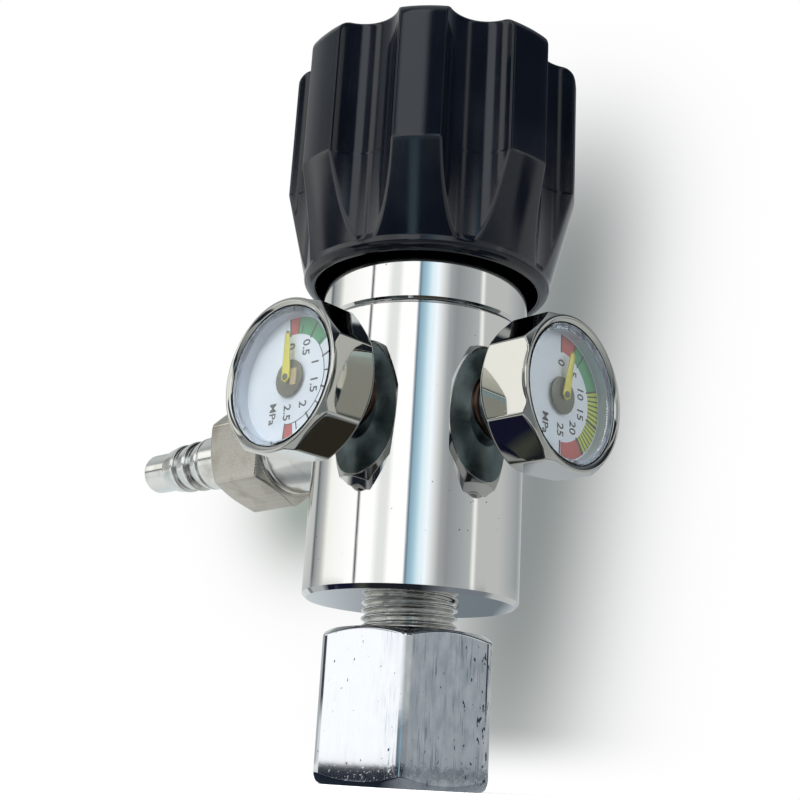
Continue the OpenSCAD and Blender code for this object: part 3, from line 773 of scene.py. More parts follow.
def helix(radius: float, wire: float, z0: float, z1: float, turns: float, sides: int = 12,
          steps: int = 36) -> Skin:
    """Round wire wound about the axis: its centre is (R cos a, R sin a, z0 + rise a / 2 pi).

    Args:
        radius: mean radius of the coil.
        wire: radius of the wire.
        z0: height of the wire's centre at the start.
        z1: height of the wire's centre at the end.
        turns: number of turns.
        sides: points round the wire.
        steps: sections in one turn.

    Returns:
        The closed wire.
    """
    a = np.linspace(0, turns, round(turns * steps) + 1) * 2 * math.pi
    slope = math.atan2((z1 - z0) / turns, 2 * math.pi * radius)
    out = np.stack([np.cos(a), np.sin(a), 0 * a], -1)
    up = np.stack([np.sin(a) * math.sin(slope), -np.cos(a) * math.sin(slope), 0 * a + math.cos(slope)], -1)
    centre = out * radius + np.array([0, 0, 1]) * (z0 + (z1 - z0) * a / a[-1])[:, None]
    k = circle_angles(sides)[None, :, None]
    tube = centre[:, None] + wire * (np.cos(k) * out[:, None] + np.sin(k) * up[:, None])
    ends = np.broadcast_to(centre[[0, -1]][:, None], (2, sides, 3))
    return Skin().grid(np.concatenate([ends[:1], tube, ends[1:]]), wrap_cols=True).outward()


@dataclass(frozen=True)
class Place:
    """Where a side fitting sits: its bearing about the main axis in degrees, and its height."""

    bearing: float = 0.0
    height: float = 67.0

    def matrix(self, turn: float = 0.0) -> Array:
        """Matrix that points a shape drawn along +Z outwards along the bearing.

        Args:
            turn: degrees that the shape is first turned about its own axis.

        Returns:
            The 4 x 4 matrix.
        """
        made = (
            Matrix.Rotation(math.radians(self.bearing), 4, "Z")
            @ Matrix.Translation((0, 0, self.height))
            @ Matrix.Rotation(math.pi / 2, 4, "X")
            @ Matrix.Rotation(math.radians(turn), 4, "Z")
        )
        return np.array(made)


def standing(turn: float, lift: float = 0.0) -> Array:
    """Matrix for a piece on the main axis: a turn about it in degrees, and a lift."""
    return np.array(Matrix.Translation((0, 0, lift)) @ Matrix.Rotation(math.radians(turn), 4, "Z"))


def settle(made: bpy.types.Object, body: str, slot: str, *stands_for: str) -> None:
    """Fixes a piece to its body, hides the nodes that it stands for, and reports it.

    Args:
        made: the piece.
        body: the body that it rides on.
        slot: the record's material slot; not used.
        stands_for: the nodes that it replaces.
    """
    if stands_for:
        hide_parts(*stands_for)
    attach(made, body)
    log.info("%s: %d faces on %s", made.name, len(made.data.polygons), body)


# ---------------------------------------------------------------- sub-assemblies


@dataclass
class InletNut:
    """Hexagonal swivel nut with both ends taken off at 30 degrees, and its inner thread."""

    across: float = 30.0
    height: float = 26.8
    turn: float = -2.4
    chamfer_r: float = 14.3
    crest_r: float = 10.29
    pitch: float = 1.814
    thread_depth: float = 0.9
    thread_h: float = 14.0
    seat: float = 18.0
    bore_r: float = 9.25
    corner: float = 1.2

    def build(self) -> None:
        """Makes the nut and puts it on its body."""
        a, reach = polar(outline(polygon(self.across, 6), self.corner, 4, 14))
        skin = revolved(a, joined(len(a), self.outside(reach), self.inside(a)))
        made = skin.moved(standing(self.turn)).object("hex_nut", palette(Kind.NUT))
        settle(made, "inlet_nut", "chrome", "swivel_nut")

    def outside(self, reach: Array) -> Array:
        """Profile over the outside for each column: flat end, 30 degree cone, flat, cone and flat end, eased.

        Args:
            reach: distance of the hexagon's outline from the axis at each column.

        Returns:
            (r, z) points, shaped (columns, count, 2).
        """
        start = np.minimum(self.chamfer_r, reach)
        drop = np.maximum(reach - self.chamfer_r, 0.0) * CONE
        path = profiles(len(reach), (self.crest_r + 0.8, 0.0), (start, 0.0), (reach, drop),
                        (reach, self.height - drop), (start, self.height), (self.bore_r + 0.3, self.height))
        return fillet(path, [0.25, 0.35, 0.35, 0.25], 3)

    def inside(self, a: Array) -> Array:
        """Profile down the bore: plain hole, relief and thread.

        Args:
            a: angle of each column in radians.

        Returns:
            (r, z) points, shaped (columns, count, 2).
        """
        relief = self.crest_r + 0.7
        plain = np.array([[self.bore_r, self.height - 0.3], [self.bore_r, self.seat], [relief, self.seat],
                          [relief, self.thread_h + 0.4]])
        z = np.linspace(self.thread_h, 0.6, 90)
        return joined(len(a), plain, thread(a, z, self.pitch, self.crest_r, self.thread_depth))


@dataclass
class Nipple:
    """Flanged inlet nipple with an M18 x 1.5 thread."""

    flange_r: float = 10.1
    flange_z: float = 14.93
    flange_h: float = 3.0
    flange_edge: float = 0.2
    thread_z: float = 19.2
    runout: float = 1.0
    top: float = 46.4
    crest_r: float = 8.9
    depth: float = 0.85
    pitch: float = 1.5
    bore_r: float = 3.0
    recess_r: float = 8.45
    recess: float = 0.8
    filter_r: float = 4.15
    filter_seat: float = 38.4

    def build(self) -> None:
        """Makes the nipple, whose thread rises from its neck with a runout."""
        a = circle_angles(120)
        neck = self.crest_r - self.depth
        foot, head = self.flange_z, self.flange_z + self.flange_h
        inset = self.flange_r - self.flange_edge
        below = np.array([
            [self.bore_r, foot + self.recess], [self.recess_r, foot + self.recess], [self.recess_r, foot],
            [inset, foot], [self.flange_r, foot + self.flange_edge], [self.flange_r, head - self.flange_edge],
            [inset, head], [neck, head],
        ])
        above = np.array([[self.filter_r, self.top], [self.filter_r, self.filter_seat],
                          [self.bore_r, self.filter_seat]])
        z = np.linspace(self.thread_z, self.top, 220)
        depth = self.depth * np.clip((z - self.thread_z) / self.runout, 0, 1)
        skin = revolved(a, joined(len(a), below, thread(a, z, self.pitch, neck, depth), above))
        settle(skin.object("threaded_nipple", palette(Kind.TURNED_NICKEL)),
               "regulator", "satin_nickel", "inlet_nipple")


@dataclass
class HandKnob:
    """Moulded eight-lobed knob: straight grip, cone, lip, hollow skirt and dished top.

    Heights are counted from the lower rim.
    """

    rim_z: float = 93.4
    height: float = 48.2
    radius: float = 28.8
    rim_r: float = 24.3
    cone_h: float = 19.8
    waist: float = 1.0
    waist_in: float = 0.25
    lip_h: float = 2.0
    lobes: int = 8
    turn: float = -8.7
    scallop_r: float = 7.35
    scallop_at: float = 31.3
    scallop_ease: float = 0.8
    top_round: float = 3.0
    cavity_r: float = 22.0
    cavity_h: float = 17.0
    roof_r: float = 14.5
    roof_h: float = 30.4
    hole_r: float = 6.28
    insert_r: float = 9.0
    insert_z: float = 30.7
    washer_z: float = 40.7
    well_r: float = 7.4
    dish_r: float = 17.0
    dish: float = 1.2
    edge: float = 0.55
    seam: float = 0.06

    def rows(self) -> tuple[Array, Array, Array]:
        """Rows of the outside, from the top down: rounded top, straight grip, eased waist and cone.

        Returns:
            Height, lobe radius and hollow radius of each row.
        """
        q = np.linspace(math.pi / 2, 0, 9)
        top_z = self.height - self.top_round + self.top_round * np.sin(q)
        top_r = self.radius - self.top_round + self.top_round * np.cos(q)
        brk = fillet(np.array([[self.radius, self.cone_h + self.waist], [self.radius, self.cone_h],
                               [self.radius - self.waist_in, self.cone_h - self.waist]]), self.waist_in, 3)
        wall_z = np.linspace(self.height - self.top_round, self.cone_h + self.waist, 10)[1:-1]
        fall = np.linspace(self.cone_h - self.waist, self.lip_h + 0.35, 22)[1:]
        slope = (self.radius - self.rim_r) / (self.cone_h - self.lip_h)
        z = np.concatenate([top_z, wall_z, brk[:, 1], fall])
        r = np.concatenate([top_r, np.full(len(wall_z), self.radius), brk[:, 0],
                            self.rim_r + (fall - self.lip_h) * slope])
        ease = self.scallop_ease
        over = np.clip(z - (self.height - ease), 0, ease)
        hollow = self.scallop_r + ease - np.sqrt(ease**2 - over**2)
        return z, r, hollow - np.where(z < self.cone_h, self.seam, 0.0)

    def lobed(self, r: Array, s: Array) -> Array:
        """Outline of each row: arcs of radius r, hollows of radius s about points outside, corners eased.

        The corner lies at the angle b from the hollow's middle where r^2 + D^2 - 2 r D cos b = s^2.

        Args:
            r: lobe radius of each row.
            s: hollow radius of each row.

        Returns:
            (x, y) points, shaped (rows, columns, 2).
        """
        d, half = self.scallop_at, math.pi / self.lobes
        r, s = r[:, None], s[:, None]
        b = np.arccos(np.clip((r**2 + d**2 - s**2) / (2 * r * d), -1, 1))
        wide = half - b
        p = np.arctan2(r * np.sin(b), d - r * np.cos(b))
        ease_a = np.minimum(self.edge / r, 0.4 * wide)
        ease_p = np.minimum(self.edge / s, 0.4 * p)

        def on_lobe(t: Array) -> Array:
            """Points of the lobe at an angle from its middle."""
            return np.stack([r * np.cos(t), r * np.sin(t)], -1)

        def in_hollow(t: Array) -> Array:
            """Points of the hollow at an angle about its own centre."""
            return spun(d - s * np.cos(t), s * np.sin(t), half)

        arc = on_lobe((wide - ease_a) * np.linspace(-1, 1, 13))
        pit = in_hollow((p - ease_p) * np.linspace(-1, 1, 21))
        t = np.linspace(0, 1, 6)[1:-1][None, :, None]
        down = curve(t, arc[:, -1:], on_lobe(wide), pit[:, :1])
        up = curve(t, pit[:, -1:], in_hollow(p), spun(arc[:, 0, 0], arc[:, 0, 1], 2 * half)[:, None])
        one = np.concatenate([arc, down, pit, up], axis=1)
        k = np.arange(self.lobes) * 2 * half - math.pi / 2
        turn = np.array([[np.cos(k), -np.sin(k)], [np.sin(k), np.cos(k)]]).transpose(2, 0, 1)
        return np.einsum("kij,rcj->rkci", turn, one).reshape(len(r), -1, 2)

    def build(self) -> None:
        """Joins the lobed outside to the round inside along the same columns."""
        z, r, s = self.rows()
        sides = self.lobed(r, s)
        a, _ = polar(sides[-1])
        outside = np.concatenate([sides, np.broadcast_to(z[:, None, None], (*sides.shape[:2], 1))], -1)
        lip = fillet(np.array([[self.rim_r, self.lip_h], [self.rim_r, 0.9], [self.rim_r - 1.1, 0.0],
                               [self.cavity_r, 0.0], [self.cavity_r, 1.0]]), [0.9, 0.8, 0.3], 4)
        hollow = np.array([
            [self.cavity_r, self.cavity_h], [self.roof_r, self.roof_h - 4.0], [self.roof_r, self.roof_h],
            [self.hole_r, self.roof_h], [self.hole_r, self.insert_z], [self.insert_r, self.insert_z],
            [self.insert_r, self.washer_z], [self.well_r, self.washer_z],
        ])
        bed = self.height - self.dish
        well = fillet(np.array([
            [self.well_r, self.washer_z], [self.well_r, bed], [self.dish_r - self.dish, bed],
            [self.dish_r, self.height], [self.dish_r + 1.5, self.height]]), [0.4, 0.8, 0.5], 4)
        inside = turned(a, np.concatenate([lip, hollow, well[1:]]))
        skin = Skin().grid(np.concatenate([outside, inside]), wrap_rows=True, wrap_cols=True).outward()
        made = skin.moved(standing(self.turn, self.rim_z)).object("lobed_knob", palette(Kind.KNOB), 30.0)
        settle(made, "hand_knob", "black_knob", "knob")


@dataclass
class HoseTail:
    """One-piece hose tail along its own axis: stem, collar, hexagon, shank and saw-tooth ribs."""

    place: Place = Place(-135.0)
    tip: float = 83.3
    stem_r: float = 6.9
    stem_z: float = 11.6
    bevel: float = 0.6
    edge: float = 0.3
    shoulder: float = 18.6
    collar_r: float = 9.5
    hex_z: float = 35.3
    hex_h: float = 15.1
    across: float = 21.5
    hex_turn: float = 20.0
    shank_r: float = 5.95
    ribs: int = 3
    rib_l: float = 4.55
    rib_foot_r: float = 4.85
    rib_tip_r: float = 5.45
    rib_grow: float = 0.2
    tip_r: float = 4.45
    tip_l: float = 7.9
    bore_r: float = 2.75

    def build(self) -> None:
        """Carries one profile round, with the hexagon's rows following its own outline."""
        a, reach = polar(outline(polygon(self.across, 6, self.hex_turn - 30.0), self.bevel, 4, 12))
        face = self.across / 2 - self.edge
        drop = np.maximum(reach - face, 0.0) * CONE
        end, root = self.hex_z + self.hex_h, self.collar_r + self.edge
        near = fillet(np.array([
            [self.bore_r, self.stem_z], [self.stem_r - self.bevel, self.stem_z],
            [self.stem_r, self.stem_z + self.bevel], [self.stem_r, self.shoulder],
            [self.collar_r, self.shoulder], [self.collar_r, self.hex_z - 0.8], [root, self.hex_z]]),
            [0.1, 0.1, 0.1, 0.4, 0.3], 3)
        hexes = fillet(profiles(len(a), (root, self.hex_z), (face, self.hex_z), (reach, self.hex_z + drop),
                                (reach, end - drop), (face, end), (self.shank_r + 0.5, end)),
                       [0.2, 0.45, 0.45, 0.2], 3)
        far = self.barbs(end)
        bright = np.repeat([1, 0, 1], [len(near), hexes.shape[1], len(far)])
        skin = revolved(a, joined(len(a), near, hexes, far), bright).moved(self.place.matrix())
        settle(skin.object("ribbed_hose_tail", palette(Kind.NICKEL, Kind.TURNED_NICKEL)),
               "regulator", "satin_nickel", "hose_tail")

    def barbs(self, start: float) -> Array:
        """Shank, ribs and tip with every edge eased, then back down the bore.

        Args:
            start: where the shank leaves the hexagon.

        Returns:
            (r, z) points, shaped (count, 2).
        """
        ribs_end = self.tip - self.tip_l
        ribs_start = ribs_end - self.ribs * self.rib_l
        path = [(self.shank_r + 0.5, start), (self.shank_r, start + 0.5), (self.shank_r, ribs_start - 0.6)]
        for i in range(self.ribs):
            at = ribs_start + i * self.rib_l
            crest = self.rib_tip_r + self.rib_grow * (self.ribs - 1 - i)
            path += [(self.rib_foot_r + 0.2, at - 0.05), (crest, at + 0.15), (crest, at + 0.9),
                     (self.rib_foot_r, at + self.rib_l - 0.1)]
        path += [(self.tip_r, ribs_end + self.edge), (self.tip_r, self.tip - self.bevel),
                 (self.tip_r - self.bevel, self.tip), (self.bore_r + self.edge, self.tip),
                 (self.bore_r, self.tip - self.edge), (self.bore_r, self.stem_z)]
        return fillet(np.array(path), self.edge, 3)


@dataclass(frozen=True)
class Scale:
    """What one dial shows: figures along the sweep, coloured sectors, and where the pointer rests.

    Angles are in degrees seen from the front, 0 to the right and rising anticlockwise; the dial's own
    top is to the right.
    """

    zero: float
    full: float
    figures: tuple[str, ...]
    sectors: tuple[tuple[float, float, Kind], ...]
    pointer: float
    fine: tuple[float, float] | None = None
    slotted: bool = False


LOW_SCALE = Scale(
    97.0, -95.0, ("0", "0.5", "1", "1.5", "2", "2.5"),
    ((97.0, 84.0, Kind.INK_RED), (84.0, 36.0, Kind.INK_GREEN), (-82.0, -95.0, Kind.INK_RED)),
    93.0, slotted=True)
HIGH_SCALE = Scale(
    90.0, -90.0, ("0", "5", "10", "15", "20", "25"),
    ((90.0, 68.0, Kind.INK_RED), (68.0, 18.0, Kind.INK_GREEN), (18.0, -52.0, Kind.INK_LIME),
     (-52.0, -88.0, Kind.INK_RED)), 78.0, fine=(18.0, -52.0))


@dataclass
class Gauge:
    """Small dial gauge: eight-sided chromed case, card, ring, lens, hub and pointer."""

    name: str
    place: Place
    scale: Scale
    turn: float
    face: float = 36.5
    edge: float = 0.3
    corner: float = 0.35
    flare: float = 1.2
    ring_r: float = 14.0
    across: float = 26.4
    corner_d: float = 29.7
    lens_r: float = 12.5
    lens_gap: float = 0.1
    back: float = 25.8
    wall: float = 1.6
    stem_z: float = 11.6
    stem_r: float = 4.9
    bevel: float = 0.6
    hole_r: float = 1.0
    neck_r: float = 6.2
    shoulder: float = 19.7
    dial_depth: float = 4.1
    dial_t: float = 0.6
    room_r: float = 11.7
    needle_l: float = 8.6
    needle_z: float = 1.2
    boss_r: float = 1.05
    spindle_r: float = 0.6
    hub_r: float = 3.35
    print_r: float = 11.3
    print_w: float = 3.1
    sunk: float = 0.05
    line_w: float = 0.32
    fine_w: float = 0.24
    ink: float = 0.03
    bold: float = 0.03
    figure_r: float = 6.1
    figure_h: float = 2.5
    unit_angle: float = math.degrees(math.atan2(-5.8, -4.3))
    unit_r: float = 7.2
    unit_h: float = 2.3

    @property
    def dial_z(self) -> float:
        """How far out the card's face is."""
        return self.face - self.dial_depth

    def build(self) -> None:
        """Makes every visible piece of the gauge but its wound tube."""
        self.case()
        self.card()
        self.figures()
        self.pointer()

    def case(self) -> None:
        """Eight flats of two widths under a flared, rounded face ring, hollow behind the card."""
        narrow = self.corner_d * math.cos(math.radians(45) - math.acos(self.across / self.corner_d))
        half, half_narrow = self.across / 2, narrow / 2
        side = half_narrow * math.sqrt(2) - half
        corners = np.array([[half, -side], [half, side], [side, half], [-side, half],
                            [-half, side], [-half, -side], [-side, -half], [side, -half]])
        a, reach = polar(outline(corners, self.corner, 3, 12))
        pocket, seat = self.lens_r + self.lens_gap, self.dial_z - self.dial_t
        back_r = np.minimum(reach, half - self.edge)
        back_z = self.back + np.maximum(reach - back_r, 0.0)
        flare = self.flare * np.maximum(self.ring_r - reach, 0.0) + np.maximum(reach - self.ring_r, 0.0)
        front = fillet(profiles(
            len(a), (self.neck_r, self.back), (back_r, self.back), (reach, back_z + 0.02),
            (reach, self.face - flare - self.corner), (self.ring_r, self.face - self.edge),
            (self.ring_r - self.edge, self.face), (pocket + 0.7, self.face), (pocket, self.face - 0.5),
            (pocket, seat)), [0.3, 0.3, 0.3, 0.35, 0.4, 0.35, 0.3], 3)
        stem = np.array([[self.hole_r, self.stem_z], [self.stem_r - self.bevel, self.stem_z],
                         [self.stem_r, self.stem_z + self.bevel], [self.stem_r, self.shoulder],
                         [self.neck_r, self.shoulder]])
        rear = self.back + self.wall
        room = np.array([[self.room_r, seat], [self.room_r, rear], [self.hole_r, rear]])
        profile = joined(len(a), stem, front, room)
        plain = np.zeros(profile.shape[1], int)
        plain[: len(stem) + 2] = 1
        skin = revolved(a, profile, plain).moved(self.place.matrix(self.turn))
        settle(skin.object(f"{self.name}_gauge_case", palette(Kind.CASE, Kind.CASE_BACK)),
               "regulator", "chrome", f"{self.name}_case")

    def strip(self, r0: float, r1: float, a0: float, a1: float, tint: int, rise: float = 0.03) -> Skin:
        """Printed patch between two radii and two angles, as a thin closed bar sunk in the card.

        Args:
            r0: inner radius.
            r1: outer radius.
            a0: first angle in degrees.
            a1: last angle in degrees.
            tint: material number.
            rise: how far it stands above the card.

        Returns:
            The closed bar.
        """
        a = np.radians(np.linspace(a0, a1, max(2, round(abs(a1 - a0) / 2) + 1)))
        low, high = self.dial_z - self.sunk, self.dial_z + rise
        section = np.array([[r0, low], [r1, low], [r1, high], [r0, high]])
        return Skin().bar(turned(a, section).transpose(1, 0, 2), tint).outward()

    def tick(self, angle: float, r0: float, r1: float, width: float) -> Skin:
        """Printed black line along a radius, as a thin closed bar.

        Args:
            angle: the radius in degrees.
            r0: inner end.
            r1: outer end.
            width: width of the line.

        Returns:
            The closed bar.
        """
        c, s = math.cos(math.radians(angle)), math.sin(math.radians(angle))
        out, side = np.array([c, s, 0.0]), np.array([-s, c, 0.0]) * width / 2
        low, high = np.array([0, 0, self.dial_z - self.sunk]), np.array([0, 0, self.dial_z + self.sunk])
        section = np.stack([low - side, low + side, high + side, high - side])
        return Skin().bar(np.stack([section + out * r for r in (r0, r1)]), 1).outward()

    def card(self) -> None:
        """The card with its coloured sectors and its scale lines."""
        z, hole = self.dial_z, 0.9
        plate = np.array([[hole, z - self.dial_t], [self.lens_r, z - self.dial_t],
                          [self.lens_r, z], [hole, z]])
        skin = revolved(circle_angles(96), plate)
        tints = [Kind.CARD, Kind.INK_BLACK, Kind.INK_RED, Kind.INK_GREEN, Kind.INK_LIME]
        inner, outer = self.print_r - self.print_w, self.print_r
        for a0, a1, ink in self.scale.sectors:
            skin.join(self.strip(inner, outer, a0, a1, tints.index(ink)))
        zero, steps = self.scale.zero, len(self.scale.figures) - 1
        whole = (self.scale.full - zero) / steps
        for i in range(steps + 1):
            skin.join(self.tick(zero + whole * i, inner - 0.2, outer, self.line_w))
        if self.scale.fine:
            for angle in np.linspace(*self.scale.fine, 15):
                skin.join(self.tick(float(angle), inner, outer, self.fine_w))
        else:
            skin.join(self.strip(inner - 0.05, inner + 0.1, 36.0, self.scale.full, 1, 0.04))
            for i in range(steps):
                skin.join(self.tick(zero + whole * (i + 0.5), inner, inner + 1.5, self.fine_w))
        made = skin.moved(self.place.matrix()).object(f"{self.name}_card", palette(*tints))
        settle(made, "regulator", "dial_white", f"{self.name}_dial")

    def figures(self) -> None:
        """The scale's figures and its unit, cut from a plain font, with their tops to the right."""
        scale, steps = self.scale, len(self.scale.figures) - 1
        words = [(text, scale.zero + (scale.full - scale.zero) * i / steps, self.figure_r, self.figure_h)
                 for i, text in enumerate(scale.figures)]
        words.append(("MPa", self.unit_angle, self.unit_r, self.unit_h))
        verts, faces = [], []
        count = 0
        for text, angle, radius, size in words:
            letters = bpy.data.curves.new("figure", "FONT")
            letters.body, letters.size, letters.align_x, letters.align_y = text, size, "CENTER", "CENTER"
            letters.extrude, letters.resolution_u, letters.offset = self.ink, 3, self.bold
            carrier = linked("figure", letters)
            bpy.context.view_layer.update()
            shaped = carrier.evaluated_get(bpy.context.evaluated_depsgraph_get())
            mesh = bpy.data.meshes.new_from_object(shaped)
            flat = np.empty(len(mesh.vertices) * 3)
            mesh.vertices.foreach_get("co", flat)
            flat = flat.reshape(-1, 3)
            spot = np.array([math.cos(math.radians(angle)), math.sin(math.radians(angle))]) * radius
            z = flat[:, 2] + self.dial_z + 0.01
            verts.append(np.stack([flat[:, 1] + spot[0], -flat[:, 0] + spot[1], z], -1))
            faces += [[v + count for v in p.vertices] for p in mesh.polygons]
            count += len(flat)
            bpy.data.objects.remove(carrier)
            bpy.data.meshes.remove(mesh)
            bpy.data.curves.remove(letters)
        matrix = self.place.matrix()
        points = (np.concatenate(verts) @ matrix[:3, :3].T + matrix[:3, 3]) * MM
        mesh = bpy.data.meshes.new(f"{self.name}_figures")
        mesh.from_pydata(points.tolist(), [], faces)
        mesh.materials.append(material(Kind.INK_BLACK))
        settle(linked(mesh.name, mesh), "regulator", "dial_white")

    def pointer(self) -> None:
        """Tapered yellow pointer with a shallow ridge, and the round hub with its spindle behind the card."""
        z, boss = self.dial_z + self.needle_z, self.boss_r
        x = -boss + (self.needle_l + boss) * np.linspace(0, 1, 13)
        width = np.where(x < 0, np.sqrt(np.maximum(boss**2 - x**2, 0.0)),
                         boss - 0.55 * np.clip(x, 0, None) / self.needle_l)
        width[-1] = 0.18
        path = np.stack([np.stack([x, side * width, 0 * x + z + rise], -1)
                         for side, rise in ((-1, 0.0), (1, 0.0), (1, 0.22), (0, 0.36), (-1, 0.22))], 1)
        needle = Skin().grid(path, wrap_cols=True)
        for end in (path[0], path[-1]):
            needle.grid(np.stack([np.broadcast_to(end.mean(0), end.shape), end]), wrap_cols=True)
        needle = needle.outward().moved(self.place.matrix(self.scale.pointer))
        settle(needle.object(f"{self.name}_pointer", palette(Kind.POINTER), 20.0),
               f"{self.name}_pointer", "needle_yellow", f"{self.name}_needle")
        base, rod = self.dial_z, self.spindle_r
        profile = fillet(np.array([
            [0.0, base - 1.2], [rod, base - 1.2], [rod, base + 0.3], [self.hub_r, base + 0.3],
            [self.hub_r, base + 0.68], [1.2, base + 0.85], [rod, base + 0.85], [rod, z + 0.5],
            [0.0, z + 0.5]]), [0.02, 0.1, 0.1, 0.15, 0.1, 0.05, 0.15], 3)
        hub = Skin().grid(turned(circle_angles(72), profile), wrap_cols=True).outward()
        if self.scale.slotted:
            hub.join(self.key(base + 0.7))
        hub = hub.moved(self.place.matrix())
        settle(hub.object(f"{self.name}_hub_cap", palette(Kind.HUB, Kind.SLOT)),
               f"{self.name}_pointer", "hub_olive", f"{self.name}_hub")

    def key(self, z: float) -> Skin:
        """Small raised key beside the spindle, with eased corners.

        Args:
            z: height that its foot is sunk at.

        Returns:
            The closed key.
        """
        shape = outline(np.array([[0.75, -1.5], [2.3, -1.5], [2.3, 1.5], [0.75, 1.5]]), 0.25, 3, 2)
        flat = np.concatenate([shape, np.zeros((len(shape), 1))], -1)
        centre = np.broadcast_to(np.array([1.52, 0.0, 0.0]), flat.shape)
        layers = np.stack([centre + [0, 0, z - 0.2], flat + [0, 0, z - 0.2], flat + [0, 0, z + 0.25],
                           flat * [0.97, 0.97, 1] + [0.04, 0, z + 0.3], centre + [0, 0, z + 0.3]])
        return Skin().grid(layers, wrap_cols=True, tint=1).outward()


@dataclass
class Spring:
    """Compression spring on the main axis between a fixed seat and one that its joint moves down."""

    name: str
    node: str
    joint: str
    radius: float
    wire: float
    turns: float
    foot: float
    top: float
    travel: float
    gap: float = 0.05

    def build(self) -> None:
        """Winds the spring between its seats."""
        inset = self.wire + self.gap
        coil = helix(self.radius, self.wire, self.foot + inset, self.top - inset, self.turns)
        made = coil.object(self.name, palette(Kind.SPRING))
        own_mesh(made)
        settle(made, "regulator", "spring_steel", self.node)


@dataclass
class WoundTube:
    """Wound pressure tube of a gauge, behind its card."""

    name: str
    place: Place
    radius: float = 7.5
    wire: float = 0.3
    start: float = 27.75
    end: float = 31.45
    turns: float = 2.5

    def build(self) -> None:
        """Winds the tube and turns it along the gauge's axis."""
        tube = helix(self.radius, self.wire, self.start, self.end, self.turns).moved(self.place.matrix())
        made = tube.object(f"{self.name}_wound_tube", palette(Kind.BRASS))
        settle(made, "regulator", "brass", f"{self.name}_coil")


@dataclass
class Dressing:
    """Finishes of the solids that are shown as they are."""

    finishes: dict[Kind, str] = field(default_factory=lambda: {
        Kind.CHROME: "body bonnet thrust_ball knob_washer", Kind.BLACK_OXIDE: "knob_bolt",
        Kind.STEEL: "poppet spring_button adjusting_screw", Kind.BRASS: "nozzle piston knob_insert",
        Kind.COPPER: "nipple_seal outlet_washer low_washer high_washer", Kind.BRONZE: "inlet_filter",
        Kind.RUBBER: "nozzle_oring piston_oring bonnet_oring", Kind.WHITE: "poppet_disc",
        Kind.FIBRE: "inlet_gasket", Kind.SPACER: "low_spacer high_spacer", Kind.LENS: "low_lens high_lens"})

    def build(self) -> None:
        """Gives every slot of each node its finish."""
        for kind, names in self.finishes.items():
            for name in names.split():
                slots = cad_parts[name].data.materials
                slots.clear()
                slots.append(material(kind))
                log.info("%s: %s", name, kind.value.name)


# ---------------------------------------------------------------- studio


@dataclass(frozen=True)
class Lamp:
    """Broad round lamp that polish doesn't show, with place and width in millimetres and power in watts."""

    name: str
    at: tuple[float, float, float]
    width: float
    power: float
    aim: tuple[float, float, float] = (0.0, 0.0, 70.0)

    def build(self) -> None:
        """Hangs the lamp and turns it to the object's middle."""
        data = bpy.data.lights.new(self.name, "AREA")
        data.shape, data.size, data.energy = "DISK", self.width * MM, self.power
        made = linked(self.name, data)
        place = np.array(self.at)
        made.location = place * MM
        made.rotation_mode = "QUATERNION"
        made.rotation_quaternion = Vector((np.array(self.aim) - place).tolist()).to_track_quat("-Z", "Y")
        made.visible_glossy = False


@dataclass(frozen=True)
class Shade:
    """Painted soft shadow on the backdrop, exp(-(u^2 + v^power)).

    The distances u across and v upwards or downwards are counted from its middle in its own sizes. Its
    middle has a bearing to the right of straight ahead and a rise above the horizon, and moves by lean
    to the right for each degree upwards. All angles are in degrees.
    """

    colour: str
    bearing: float
    rise: float
    lean: float
    width: float
    above: float
    below: float
    power: float

    def strength(self, tree: Tree, bearing: Node, rise: Node) -> Node:
        """How strong the patch is in a direction.

        Args:
            tree: the node tree.
            bearing: degrees to the right.
            rise: degrees above the horizon.

        Returns:
            From 0 outside to 1 in the middle.
        """
        height = add(tree, "Math", rise, self.rise, operation="SUBTRACT")
        line = add(tree, "Math", height, self.lean, self.bearing, operation="MULTIPLY_ADD")
        u = add(tree, "Math", bearing, line, operation="SUBTRACT")
        u = add(tree, "Math", u, self.width, operation="DIVIDE")
        above = add(tree, "Math", height, self.above, operation="DIVIDE")
        below = add(tree, "Math", height, -self.below, operation="DIVIDE")
        v = add(tree, "Math", above, below, operation="MAXIMUM")
        v = add(tree, "Math", v, self.power, operation="POWER")
        both = add(tree, "Math", u, u, v, operation="MULTIPLY_ADD")
        both = add(tree, "Math", both, -1.0, operation="MULTIPLY")
        return add(tree, "Math", both, operation="EXPONENT")


class Tone(StrEnum):
    """Tones of the room's cards, from white to black, then five cool ones."""

    WHITE = "#ffffff"
    IVORY = "#f0f0ec"
    PALE = "#e0e2e0"
    SILVER = "#d0d2d2"
    LIGHT = "#b4b6b4"
    MIST = "#a8acac"
    GREY = "#9ca0a2"
    DIM = "#8a8e90"
    DUSK = "#6e7478"
    SLATE = "#5a6066"
    SHADE = "#484c50"
    IRON = "#3c4046"
    COAL = "#202630"
    INK = "#16191e"
    NAVY = "#3c5870"
    STEEL = "#86a4b4"
    SKY = "#a8c8d8"
    AIR = "#d8ecf4"
    FROST = "#f0f8fe"


